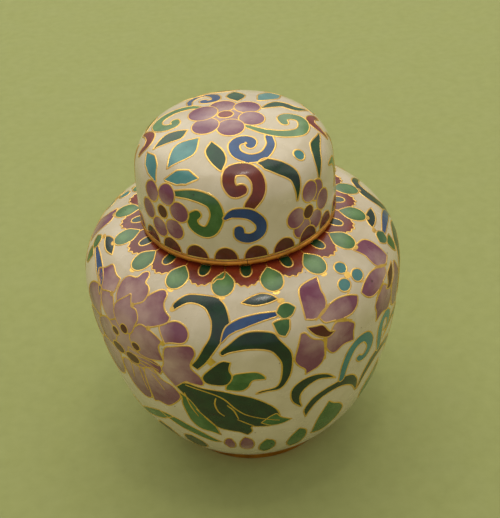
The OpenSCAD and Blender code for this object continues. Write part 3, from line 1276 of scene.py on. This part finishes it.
    def blossom(self, place: Placement) -> None:
        """Draws one smaller flower."""
        lens = [
            (19.7, 58.5), (22.8, 58.1), (25.6, 57.7), (27.5, 55.7), (29.7, 55.2), (26.7, 54.4),
            (23.3, 55.5), (21.1, 56.9),
        ]
        self.draw("peony_seeds_enamel", Slot.BRICK, smooth(lens), self.chart, place)
        for spine, widths in (
            ([(30.2, 57.3), (33.5, 56.6), (36.9, 55.4)], [0.5, 0.9, 0.4]),
            ([(23.6, 59.3), (27, 60.4), (30.4, 61.4)], [0.4, 0.8, 0.4]),
            ([(25.6, 54.6), (25.4, 52), (25.3, 48.4)], [1.0, 0.7, 0.3]),
            ([(39.4, 64.6), (40.6, 62.0), (38.6, 61.2)], [0.4, 0.5, 0.3]),
        ):
            self.draw(
                "jar_gilt_pools",
                Slot.WIRE,
                brush(self.chart, spine, widths),
                self.chart,
                place,
                wired=False,
            )
        centre = (27.0, 57.0)
        petals = [
            [
                (25, 59.5), (29, 61), (34, 61.6), (39, 61), (42.6, 59.7), (41, 58), (38, 56.9),
                (34, 56.9), (30, 57.5), (26.5, 58),
            ],
            [
                (20, 60.2), (20.3, 63.5), (21, 66), (22.8, 67.4), (27, 68), (31.7, 68), (29.9, 65),
                (30, 63.5), (28.9, 61.3), (24, 59.6),
            ],
            [
                (31, 56.9), (37.6, 54.6), (37.3, 52), (37.5, 49.4), (33, 50), (29, 49), (26.5, 50.5),
                (25.3, 53), (26, 55), (28, 55.5),
            ],
            [
                (17.2, 57.5), (15.6, 54.6), (14.2, 51.3), (15.6, 49.1), (17.8, 47.4), (17.8, 45.7),
                (20.3, 46.3), (22.8, 46.9), (24.7, 48.5), (25.3, 51.3), (24.7, 54.1), (21.1, 55.5),
                (18.9, 57.4),
            ],
        ]
        for points in petals:
            self.draw("blossom_petals_enamel", Slot.MAUVE, smooth(points), self.chart, place, centre, 8.5)

    def berries(self, place: Placement) -> None:
        """Draws the berries between two blossoms. The middle one is drawn with the unmirrored half."""
        if not place.mirrored:
            self.pool(43.5, 64.7, 1.5, 0.8, place)
            self.draw("berries_enamel", Slot.TURQUOISE, oval(43.3, 66.9, 2.9, 1.5), self.chart, place)
        self.draw("berries_enamel", Slot.TURQUOISE, oval(39.7, 63.3, 2.9, 1.5), self.chart, place)

    def calyx(self, place: Placement) -> None:
        """Draws the green cup behind a blossom, its leaf and its stem."""
        self.pool(13.3, 65.6, 1.5, 0.6, place)
        self.leaf(
            [(10.3, 63.2), (12.4, 64.7), (15.4, 64.8), (18, 63.4), (15.6, 61.9), (12.4, 61.7)],
            place,
            Slot.LIGHT_GREEN,
        )
        self.leaf(
            [(8.3, 61.3), (11, 61.7), (14.7, 61.4), (13.9, 59.2), (12.0, 57.7), (9.6, 58.6)],
            place,
            Slot.LIGHT_GREEN,
        )
        self.leaf(
            [
                (-2.2, 66.4), (1.6, 67.6), (6.4, 68.2), (10.4, 67.4), (12.5, 66.1), (8.2, 65.6),
                (3.0, 65.5),
            ],
            place,
        )
        stem = brush(
            self.chart,
            [(-9.4, 58), (-6.8, 60.6), (-2, 62.0), (4, 62.8), (10, 63.0)],
            [0.4, 2.0, 2.4, 1.9, 1.2],
        )
        self.draw("cobalt_stems", Slot.COBALT, stem, self.chart, place, tone=0.6)

    def commas(self, place: Placement) -> None:
        """Draws the two curled leaves that cross the stem."""
        outer = [
            (-28.6, 64.9), (-25.6, 67.1), (-21.7, 68), (-13.3, 68), (-10, 67.1), (-7.8, 65.5),
            (-6.4, 62.4), (-7.2, 60.7), (-9.4, 58), (-12.2, 55.2), (-15, 52.4), (-18.1, 50.1),
        ]
        inner = [
            (-20.2, 51.3), (-17.8, 53.5), (-15.6, 56.3), (-13.3, 59.1), (-12.9, 61.9), (-13.9, 63.5),
            (-15.6, 64.9), (-17.8, 65.6), (-20.6, 65.9), (-23.3, 65.6), (-26.1, 64.4), (-28.1, 63.2),
        ]
        self.leaf(outer + inner, place)
        outer = [
            (-10, 55.7), (-6.7, 57.7), (-3.3, 59.4), (0, 60.1), (4.4, 59.9), (8.3, 59.1), (10, 57.4),
            (12.8, 54.6), (13.6, 52.4), (13.3, 49.1), (12.2, 46.3), (10, 43.8), (7.8, 43), (4.4, 43),
            (0.3, 42.5),
        ]
        inner = [
            (2.2, 43.5), (7.2, 44.1), (8.9, 45.7), (9.7, 48.5), (9.7, 51.3), (8.3, 53.5), (6.7, 54.9),
            (4.4, 55.6), (1.1, 56), (-2.2, 56), (-6.7, 55.5), (-9.4, 54.6),
        ]
        self.leaf(outer + inner, place)

    def knot(self, place: Placement) -> None:
        """Draws the gilt knot of the stem, with the small leaves below it."""
        diamond = np.array([(-15.6, 53.2), (-13.5, 54.6), (-11.4, 53.0), (-13.5, 51.6)])
        self.draw("jar_gilt_pools", Slot.WIRE, diamond, self.chart, place, wired=False)
        self.leaf(
            [
                (-16.7, 48.2), (-13.9, 50.7), (-9.7, 53.2), (-6.7, 53), (-7.5, 50.7), (-6.7, 48.5),
                (-8.9, 46), (-13.3, 45.7), (-16.1, 46.3),
            ],
            place,
        )
        self.leaf(
            [
                (-6.7, 48.8), (-4.4, 49.6), (1.1, 49.7), (3.9, 48.2), (4.2, 47.1), (0, 47.1),
                (-1.7, 45.2), (-3.9, 44), (-7.8, 44.1), (-9.4, 44.9),
            ],
            place,
            Slot.LIGHT_GREEN,
        )

    def veined_leaf(self, place: Placement) -> None:
        """Draws the large leaf, with gilt veins over it."""
        for spine in (
            [
                (-23.3, 44.5), (-17.8, 43.5), (-13.3, 42.4), (-10, 40.7), (-6.7, 37.4), (-2.2, 34.6),
                (8.3, 31.3),
            ],
            [(-13.3, 41.2), (-14, 39.1), (-13.3, 36.3), (-11.4, 34.6)],
            [(-21.4, 36), (-17.8, 32.4), (-15, 29.4)],
            [(-6.7, 33.2), (-1.1, 30.2)],
            [(-24.5, 41.5), (-23.4, 37), (-21.4, 33.2)],
            [(-9.6, 38.8), (-7.6, 36.8), (-6.4, 33.6)],
        ):
            vein = brush(self.chart, spine, [0.3, 0.4, 0.25])
            self.draw("jar_gilt_pools", Slot.WIRE, vein, self.chart, place, wired=False)
        self.leaf(
            [
                (9.4, 32.4), (13.3, 30.6), (9.4, 29.6), (5.6, 29.6), (1.6, 31.2), (4.8, 33.4),
                (7.4, 34.4),
            ],
            place,
            Slot.LIGHT_GREEN,
        )
        self.leaf(
            [
                (-27.2, 43), (-23.3, 45.2), (-17.8, 44.4), (-10.5, 43.8), (-6.7, 43), (-1.1, 41.6),
                (3.3, 39.4), (6.7, 36.9), (8.3, 34.6), (8.6, 31.4), (5.6, 29.5), (3.3, 29.5), (-1.1, 29.9),
                (-2.2, 29.7), (-1.9, 27.7), (-3.9, 26), (-6.7, 27.4), (-10, 28), (-15, 29.4), (-19.6, 34),
                (-22.6, 38.6),
            ],
            place,
        )
        self.leaf(
            [
                (-14.4, 25.5), (-17.8, 26.6), (-22.2, 27.4), (-25, 30.2), (-26.1, 34.1), (-26.5, 37),
                (-26.1, 39.6), (-27, 41.5), (-23.4, 39.4), (-20.4, 35.0), (-16, 30.4),
            ],
            place,
            Slot.LIGHT_GREEN,
        )

    def scrolls(self, place: Placement) -> None:
        """Draws the scrolls under a blossom."""
        if place.mirrored:
            widths = [1.8, 2.5, 2.5, 2.3, 1.9, 1.3]
            spine = [
                (32.9, 38.7), (33.6, 43), (33.2, 46.5), (30.4, 48), (27.0, 46.4), (27.2, 43.6),
                (29.6, 43.4),
            ]
        else:
            widths = [1.8, 2.5, 2.7, 2.7, 2.5, 2.1, 1.5]
            spine = [
                (32.9, 38.7), (34.1, 43), (36.5, 46.5), (40, 48), (44, 47.5), (46.5, 45), (46.4, 43),
                (44.5, 41.5), (42, 41.5), (40.5, 42.5),
            ]
        stroke = brush(self.chart, spine, widths)
        self.draw("turquoise_scrolls", Slot.TURQUOISE, stroke, self.chart, place)
        outer = [
            (16.4, 34.6), (13.3, 37.4), (12.5, 40.2), (13.3, 42.4), (16.1, 44.1), (20, 44.7),
            (23.9, 44.1), (27.2, 42.7), (30.3, 40.2),
        ]
        inner = [(26.7, 41.6), (22.8, 42.5), (18.9, 41.6), (16.4, 39.6), (16.1, 36.9), (16.9, 34.9)]
        self.leaf(outer + inner, place)
        outer = [
            (18.9, 29.4), (17.8, 32.4), (18.9, 34.6), (21.7, 36.9), (26.7, 38.2), (30.6, 38.4),
            (34.7, 38.8), (38.8, 37.4), (41.6, 34.9), (42.8, 32.6), (43.2, 29),
        ]
        inner = [(42.5, 29.6), (39.4, 33), (35.3, 35.2), (31.2, 36), (26.7, 35.7), (22.8, 34.1), (20, 31.3)]
        self.leaf(outer + inner, place)

    def low_leaves(self, place: Placement) -> None:
        """Draws the plants that rise from the foot."""
        self.leaf(
            [
                (-40, 29.4), (-35, 29.6), (-30, 28.6), (-22, 25.4), (-15, 21.4), (-19, 21.2),
                (-26, 23.4), (-33, 25.8),
            ],
            place,
            Slot.LIGHT_GREEN,
        )
        tips = (
            [(-14.4, 20.6), (-12.6, 23.8), (-10.6, 24.0), (-9.6, 21.2), (-10.2, 18.4), (-12.6, 17.4)],
            [
                (-7.8, 18.5), (-7.4, 22.0), (-5.2, 25), (-2.6, 23.6), (-1.7, 20.6), (-3.0, 17.4),
                (-5.6, 16.6),
            ],
        )
        for points in tips:
            self.draw("blossom_petals_enamel", Slot.MAUVE, smooth(points), self.chart, place, (-8, 14), 8.0)
        self.leaf(
            [(0, 16), (0.6, 19.8), (3.4, 23), (6.6, 21.4), (7.2, 17.6), (4.6, 14.2), (2.0, 13.4)],
            place,
            Slot.LIGHT_GREEN,
        )
        self.leaf(
            [(12.5, 17), (13.6, 21.4), (17.0, 25), (20.4, 22.6), (21, 17.8), (18.6, 14), (15.0, 13.2)],
            place,
            Slot.LIGHT_GREEN,
        )
        self.leaf(
            [
                (23.4, 19), (24.6, 26), (28.5, 32.4), (31.0, 30.4), (35.3, 28), (37.6, 24.6),
                (35.4, 20.6), (30.0, 17.6),
            ],
            place,
            Slot.LIGHT_GREEN,
        )
        self.leaf(
            [
                (-34, 16.5), (-32.6, 20.6), (-28.4, 22.0), (-24.4, 19.4), (-24, 15.4), (-28, 12.6),
                (-32, 13.2),
            ],
            place,
        )


@dataclass
class Jar:
    """The jar: its copper walls, its enamel and its gilt rings."""

    finishes: Finishes
    ground_top: float = 0.1
    ground_foot: float = 0.85
    shells: tuple[str, ...] = ("belly_shell", "shoulder_shell", "base_plate")
    rings: tuple[str, ...] = ("neck_ring", "foot_ring", "neck_border_wire", "foot_border_wire")
    linings: tuple[str, ...] = ("inner_enamel", "base_enamel")
    outline: Outline = field(
        default_factory=lambda: Outline(
            [
                Arc(-8.471, 35.469, 44.3, -49.0, -17.0),
                Arc(-56.0, 50.0, 94.0, -17.0, 0.0),
                Arc(25.0, 50.0, 13.0, 0.0, 69.0),
                Arc(17.295, 29.928, 34.5, 69.0, 86.0),
            ]
        )
    )

    def build(self) -> None:
        """Builds and dresses the jar."""
        chart = Chart(self.outline)
        picture = JarPicture(chart)
        pieces = EnamelLayer(picture).build()
        stands_for = {
            "collar_band_enamel": "collar_band",
            "collar_leaves_enamel": "collar_leaves",
            "collar_eyes_enamel": "collar_eyes",
            "peony_petals_enamel": "peony_petals",
            "peony_seeds_enamel": "peony_seeds",
            "blossom_petals_enamel": "blossom_petals",
            "berries_enamel": "berries",
            "dark_leaves": "jar_leaves",
        }
        slots = {cell.piece: cell.slot for cell in picture.cells}
        for name, piece in pieces.items():
            show(piece, "jar", slots[name], self.finishes, stands_for.get(name))
        wires = WireLayer(picture).build("jar_gilt_wires")
        show(wires, "jar", Slot.WIRE, self.finishes, "jar_wires", "collar_wires")
        profile = shell_profile(self.outline, 0.45, self.outline.total, self.ground_top, self.ground_foot)
        ground = turned("jar_cream_ground", profile)
        show(ground, "jar", Slot.WHITE, self.finishes, "jar_ground")
        dress_nodes(self.finishes, Slot.COPPER, self.shells)
        dress_nodes(self.finishes, Slot.BRASS, self.rings)
        dress_nodes(self.finishes, Slot.COUNTER, self.linings)


# ---------------------------------------------------------------- the lid


class LidPicture(Picture):
    """The flowers, scrolls and scallops of the lid."""

    def __init__(self, wall: Chart, crown: CrownChart) -> None:
        """Draws the whole picture.

        Args:
            wall: The sheet round the lid.
            crown: The sheet on top of it.
        """
        super().__init__()
        self.wall = wall
        self.crown = crown
        self.scallops()
        for turn in (0.0, 180.0):
            self.wall_flowers(Placement(turn))
            self.wall_scrolls(Placement(turn))
        self.crown_flower()
        self.crown_scrolls()
        self.crown_leaves()

    def scallops(self) -> None:
        """Draws the red scallops above the rim."""
        count = 22
        for k in range(count):
            place = Placement(-57.8 + 360 / count * k)
            loop = [(-6.5, 0.7), (-6.1, 2.1), (-3.9, 3.5), (0, 4.2), (3.9, 3.5), (6.1, 2.1), (6.5, 0.7)]
            self.draw("lid_scallops_enamel", Slot.BRICK, smooth(loop), self.wall, place)
            half = 180 / count
            strip = np.array([(-half, 0.45), (half, 0.45), (half, 1.0), (-half, 1.0)])
            self.draw("lid_gilt_band", Slot.WIRE, strip, self.wall, place, wired=False)

    def wall_flowers(self, place: Placement) -> None:
        """Draws the two side flowers."""
        flowers = [
            ((-46, 10.2), [(-42.7, 14.8), (-34, 11.6), (-38, 6.8), (-49.3, 5.7), (-58.7, 8.8), (-55, 13.8)]),
            ((41.4, 7.8), [(43.9, 12.4), (32.5, 7.8), (54.6, 8.2), (49.8, 11.6), (36.2, 4.6), (46.6, 4.6)]),
        ]
        for centre, petals in flowers:
            self.draw("lid_centres_enamel", Slot.BRICK, oval(*centre, 3.9, 1.7), self.wall, place)
            for petal in petals:
                loop = oval(*petal, 6.1, 2.5)
                self.draw("lid_petals_enamel", Slot.MAUVE, loop, self.wall, place, centre, 5.5)

    def stroke(
        self,
        piece: str,
        slot: Slot,
        chart: Chart,
        spine: list[Point],
        widths: list[float],
        place: Placement,
        tone: float = 0.5,
    ) -> None:
        """Draws one stroke."""
        self.draw(piece, slot, brush(chart, spine, widths), chart, place, tone=tone)

    def wall_scrolls(self, place: Placement) -> None:
        """Draws the scrolls and leaves between the side flowers."""
        strokes = [
            (
                "lid_blue_scrolls",
                Slot.COBALT,
                0.9,
                [1.0, 2.3, 2.6, 2.6, 2.6, 2.6, 2.4],
                [
                    (-7.5, 11.5), (-4, 12.5), (1, 12.6), (7, 11.8), (11.5, 9.5), (10.5, 7.2), (5, 6.2),
                    (0, 7), (-0.5, 8.5),
                ],
            ),
            (
                "lid_green_scrolls",
                Slot.LIGHT_GREEN,
                0.9,
                [1.4, 2.5, 2.9, 3.1, 2.9, 2.7, 2.2],
                [
                    (-37, 15.7), (-28.3, 16.3), (-20.3, 16.1), (-13.7, 14.9), (-11.7, 12.1),
                    (-15, 8.8), (-19.7, 7.9), (-25, 9.1), (-25.7, 11), (-23, 12.1),
                ],
            ),
            (
                "lid_brick_hooks",
                Slot.BRICK,
                0.6,
                [2.6, 2.8, 3.0, 3.2, 3.2, 3.1, 2.7],
                [
                    (3, 17.7), (-1.5, 17.5), (-4.5, 19.5), (-3, 21.8), (3, 22.4), (9.5, 21.8),
                    (13.2, 19.5), (12, 16.5), (6.5, 14),
                ],
            ),
            (
                "lid_dark_leaves",
                Slot.DARK_GREEN,
                0.8,
                [0.4, 3.0, 3.4, 2.9, 1.8, 0.4],
                [(17, 23), (22, 22.5), (30, 20.3), (35.6, 17.8), (35.8, 15), (34.4, 12)],
            ),
            (
                "lid_dark_leaves",
                Slot.DARK_GREEN,
                0.5,
                [0.6, 2.6, 3.0, 0.6],
                [(53, 13.5), (58, 17), (65, 19.5), (79, 19.8)],
            ),
            (
                "lid_turquoise_leaves",
                Slot.TURQUOISE,
                0.6,
                [0.4, 3.3, 3.3, 0.4],
                [(-46, 17.8), (-35, 19.6), (-24, 20)],
            ),
            (
                "lid_turquoise_leaves",
                Slot.TURQUOISE,
                0.6,
                [0.4, 3.3, 3.3, 0.4],
                [(-74, 19.8), (-63, 18.9), (-52.5, 16.5)],
            ),
            (
                "lid_turquoise_leaves",
                Slot.TURQUOISE,
                0.5,
                [0.5, 2.8, 0.5],
                [(88, 17.6), (92, 12), (88, 6.6)],
            ),
            (
                "lid_green_scrolls",
                Slot.LIGHT_GREEN,
                0.5,
                [0.8, 2, 1.8, 0.8],
                [(68, 14), (76, 13), (79, 9.5), (74, 7)],
            ),
        ]
        for piece, slot, tone, widths, spine in strokes:
            self.stroke(piece, slot, self.wall, spine, widths, place, tone)

    def crown_flower(self) -> None:
        """Draws the flower in the middle of the crown."""
        centre = (-1.0, 0.8)
        self.draw("lid_centres_enamel", Slot.BRICK, oval(*centre, 1.8, 1.6), self.crown, tone=0.1)
        for x, y, r in (
            (-6, 2.8, 3.4),
            (-5.6, -2.9, 3.1),
            (-0.1, -4.7, 3.1),
            (4.7, -1.5, 2.9),
            (4, 3.8, 3.0),
            (-1.5, 5.1, 3.1),
        ):
            loop = oval(x, y, r, r)
            self.draw("lid_petals_enamel", Slot.MAUVE, loop, self.crown, pale_at=centre, reach=8.0)
        self.draw(
            "lid_petals_enamel",
            Slot.MAUVE,
            oval(*centre, 4.4, 4.4),
            self.crown,
            pale_at=centre,
            reach=9.0,
        )

    def crown_scrolls(self) -> None:
        """Draws the curling strokes on the crown."""
        crown, here = self.crown, Placement()
        strokes = [
            (
                "lid_green_scrolls",
                Slot.LIGHT_GREEN,
                [1.4, 2.3, 2.6, 2.7, 2.5, 2.2],
                [
                    (-7, 6.4), (-9, 7.5), (-13, 7.5), (-16.5, 5), (-16.5, 2), (-14.5, 0.5),
                    (-12.5, 0.8), (-12.5, 2.2),
                ],
            ),
            (
                "lid_green_scrolls",
                Slot.LIGHT_GREEN,
                [1.2, 2.2, 2.6, 2.7, 2.5, 2.1],
                [
                    (3.6, -4.8), (7, -6.5), (11, -7), (15, -5.5), (16.3, -2.5), (15.5, 0), (13, 0.3),
                    (11.5, -1), (11.8, -2.6),
                ],
            ),
            (
                "lid_blue_scrolls",
                Slot.COBALT,
                [1.0, 1.9, 2.2, 2.3, 2.2, 2.0],
                [
                    (-9, 8.6), (-9, 12), (-7, 14.5), (-4.5, 14.5), (-3, 12), (-3.2, 9.4), (-5.3, 9.2),
                    (-5.9, 10.3),
                ],
            ),
            (
                "lid_blue_scrolls",
                Slot.COBALT,
                [1.9, 2.2, 2.5, 2.6, 2.6, 2.4],
                [
                    (8, -8.4), (8.2, -11), (6.5, -14), (3.5, -15), (0.8, -13.5), (0.3, -10.8),
                    (2, -9.3), (4, -9.8), (3.8, -11),
                ],
            ),
            (
                "lid_dark_leaves",
                Slot.DARK_GREEN,
                [0.4, 2.4, 3.0, 2.8, 2.2, 0.4],
                [(7.2, 3.2), (10, 5.5), (12, 6.3), (15, 5), (18, 5.8)],
            ),
            (
                "lid_brick_hooks",
                Slot.BRICK,
                [1.6, 2.3, 2.3, 1.2],
                [(20, 3.5), (18.3, 1.5), (18.5, -0.5), (20.5, -2), (22.5, -2.5)],
            ),
            (
                "lid_brick_hooks",
                Slot.BRICK,
                [1.2, 2.5, 2.5, 1.4],
                [(-20.5, 3), (-19, 1), (-18.5, -1), (-19.5, -3), (-22, -3.5)],
            ),
            (
                "lid_dark_leaves",
                Slot.DARK_GREEN,
                [0.5, 3.6, 4.6, 3.4, 0.6],
                [(2, 7.4), (1.8, 10), (1.6, 12.4), (1.5, 15)],
            ),
        ]
        for piece, slot, widths, spine in strokes:
            self.stroke(piece, slot, crown, spine, widths, here, 0.3)

    def crown_leaves(self) -> None:
        """Draws the leaves on the crown."""
        crown = self.crown
        leaves = [
            (
                "lid_turquoise_leaves",
                Slot.TURQUOISE,
                [(6.5, 7.5), (7, 12), (10, 15), (12.5, 14), (11.5, 10), (8.5, 8)],
            ),
            (
                "lid_dark_leaves",
                Slot.DARK_GREEN,
                [(-9.5, -3), (-12, -2.2), (-15, -2.5), (-18, -6), (-14, -5.8), (-11, -5.5)],
            ),
            (
                "lid_turquoise_leaves",
                Slot.TURQUOISE,
                [(-12.5, -7.5), (-7, -6.7), (-8, -11), (-10, -12.5), (-15, -13.5)],
            ),
            (
                "lid_dark_leaves",
                Slot.DARK_GREEN,
                [
                    (-4.5, -8.7), (-2.2, -12), (-1.6, -15), (-2.8, -18), (-3.8, -17), (-5.3, -14.5),
                    (-6, -11.5),
                ],
            ),
        ]
        for piece, slot, points in leaves:
            self.draw(piece, slot, smooth(points, stretch=1.0), crown, tone=0.4)
        self.draw("lid_turquoise_leaves", Slot.TURQUOISE, oval(14.4, -12.9, 1.4, 1.4), crown)


@dataclass
class Lid:
    """The lid: its copper cap, its enamel and its gilt rim."""

    finishes: Finishes
    ground_top: float = 0.1
    ground_foot: float = 0.85
    rim_low: float = 64.5
    rim_high: float = 65.9
    rim_outer: float = 22.95
    rim_inner: float = 20.85
    lap_at: float = 2.0
    outline: Outline = field(
        default_factory=lambda: Outline(
            [
                Arc(-67.05, 69.5, 90.0, -2.5, 6.0),
                Arc(13.904, 78.009, 8.6, 6.0, 71.0),
                Arc(0.0, 37.63, 51.31, 71.0, 90.0),
            ]
        )
    )

    def rim(self) -> bpy.types.Object:
        """Builds the half-round rim, bent from one strip with its ends butted.

        Returns:
            The rim.
        """
        half = (self.rim_high - self.rim_low) / 2
        middle = (self.rim_high + self.rim_low) / 2
        turns = [math.radians(turn) for turn in range(-90, 91, 15)]
        nose = [(self.rim_outer - half + half * math.cos(t), middle + half * math.sin(t)) for t in turns]
        profile = nose + [(self.rim_inner, self.rim_high), (self.rim_inner, self.rim_low)]
        gap = 0.35
        return turned("lid_gilt_rim", profile, 180, self.lap_at + gap, 360.0 - gap)

    def build(self) -> None:
        """Builds and dresses the lid."""
        picture = LidPicture(Chart(self.outline), CrownChart(self.outline))
        pieces = EnamelLayer(picture).build()
        stands_for = {
            "lid_scallops_enamel": ("lid_scallops",),
            "lid_petals_enamel": ("lid_top_petals", "lid_side_petals"),
            "lid_centres_enamel": ("lid_top_centre", "lid_side_centres"),
            "lid_blue_scrolls": ("lid_scrolls",),
            "lid_dark_leaves": ("lid_leaves",),
        }
        slots = {cell.piece: cell.slot for cell in picture.cells}
        for name, piece in pieces.items():
            show(piece, "lid", slots[name], self.finishes, *stands_for.get(name, ()))
        show(WireLayer(picture).build("lid_gilt_wires"), "lid", Slot.WIRE, self.finishes, "lid_wires")
        profile = shell_profile(
            self.outline, 0.4, self.outline.total - 0.001, self.ground_top, self.ground_foot
        )
        show(turned("lid_cream_ground", profile), "lid", Slot.WHITE, self.finishes, "lid_ground")
        show(self.rim(), "lid", Slot.BRASS, self.finishes, "lid_rim")
        dress_nodes(self.finishes, Slot.COPPER, ("lid_shell",))
        dress_nodes(self.finishes, Slot.COUNTER, ("lid_inner_enamel",))


def show(piece: bpy.types.Object, body: str, slot: Slot, finishes: Finishes, *nodes: str | None) -> None:
    """Dresses a finished piece, fixes it to its body and hides the CAD nodes that it stands for.

    Args:
        piece: The piece.
        body: The body that it moves with.
        slot: Its finish.
        finishes: All the finishes.
        nodes: The CAD nodes that it stands for.
    """
    finishes.dress(piece, slot)
    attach(piece, body)
    names = [node for node in nodes if node]
    if names:
        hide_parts(*names)
    LOG.info("%s: %d faces on %s", piece.name, len(piece.data.polygons), body)


def dress_nodes(finishes: Finishes, slot: Slot, nodes: tuple[str, ...]) -> None:
    """Gives CAD nodes their finish."""
    for node in nodes:
        finishes.dress(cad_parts[node], slot)


# ---------------------------------------------------------------- the studio


@dataclass
class Studio:
    """A pale card, soft lamps and the camera."""

    distance: float = 0.24796
    elevation: float = 37.514
    target_z: float = 0.04862
    pan: float = -0.420
    tilt: float = 0.031
    roll: float = 4.957
    lens: float = 70.67
    sensor: float = 36.0
    card_size: float = 3.0

    def card(self) -> None:
        """Lays the card under the jar."""
        bpy.ops.object.select_all(action="DESELECT")
        bpy.ops.mesh.primitive_plane_add(size=self.card_size, location=(0, 0, 0))
        card = bpy.context.active_object
        card.name = "card"
        card.data.materials.append(CardFinish().build())

    def lamp(
        self,
        name: str,
        place: Point,
        height: float,
        size: float,
        power: float,
        tint: tuple[float, float, float],
    ) -> None:
        """Hangs one square lamp that looks at the jar.

        Args:
            name: The name of the lamp.
            place: Where it hangs over the card, in metres.
            height: How high it hangs.
            size: The side of its square.
            power: Its power in watts.
            tint: The colour of its light.
        """
        data = bpy.data.lights.new(name, "AREA")
        data.size = size
        data.energy = power
        data.color = tint
        lamp = bpy.data.objects.new(name, data)
        lamp.location = (*place, height)
        way = Vector((0, 0, self.target_z)) - lamp.location
        lamp.rotation_euler = way.to_track_quat("-Z", "Y").to_euler()
        bpy.context.scene.collection.objects.link(lamp)

    def light(self) -> None:
        """Hangs the lamps and sets the soft light of the room."""
        self.lamp("window", (-0.1, 0.5), 0.85, 1.3, 6.6, (1.0, 0.98, 0.94))
        self.lamp("side", (0.7, 0.05), 0.6, 0.6, 0.7, (1.0, 0.98, 0.94))
        self.lamp("front", (-0.5, -0.7), 0.6, 1.0, 0.8, (1.0, 0.99, 0.96))
        self.lamp("ceiling", (0.1, -0.08), 1.0, 0.07, 0.5, (1.0, 0.96, 0.88))
        world = bpy.data.worlds.new("room")
        world.use_nodes = True
        back = world.node_tree.nodes["Background"]
        back.inputs["Color"].default_value = (1.0, 0.98, 0.93, 1.0)
        back.inputs["Strength"].default_value = 0.45
        bpy.context.scene.world = world

    def camera(self) -> None:
        """Sets the camera up, looking down at the jar from the front."""
        rise = math.radians(self.elevation)
        data = bpy.data.cameras.new("camera")
        data.lens = self.lens
        data.sensor_width = self.sensor
        data.clip_start = 0.01
        forward = Vector((0, math.cos(rise), -math.sin(rise)))
        right = Vector((1, 0, 0))
        up = right.cross(forward)
        turn = Matrix.Rotation(math.radians(self.pan), 3, up)
        forward, right = turn @ forward, turn @ right
        turn = Matrix.Rotation(math.radians(self.tilt), 3, right)
        forward, up = turn @ forward, turn @ up
        turn = Matrix.Rotation(math.radians(self.roll), 3, forward)
        right, up = turn @ right, turn @ up
        pose = Matrix((right, up, -forward)).transposed().to_4x4()
        pose.translation = (
            0.0, -self.distance * math.cos(rise), self.target_z + self.distance * math.sin(rise),
        )
        camera = bpy.data.objects.new("camera", data)
        camera.matrix_world = pose
        bpy.context.scene.collection.objects.link(camera)
        bpy.context.scene.camera = camera

    def build(self) -> None:
        """Sets up the studio."""
        self.card()
        self.light()
        self.camera()
        bpy.context.scene.view_settings.view_transform = "Standard"


def main() -> None:
    """Builds the jar, the lid and the studio."""
    logging.basicConfig(level=logging.INFO, format="%(message)s")
    finishes = Finishes()
    Jar(finishes).build()
    Lid(finishes).build()
    Studio().build()


if __name__ == "__main__":
    main()
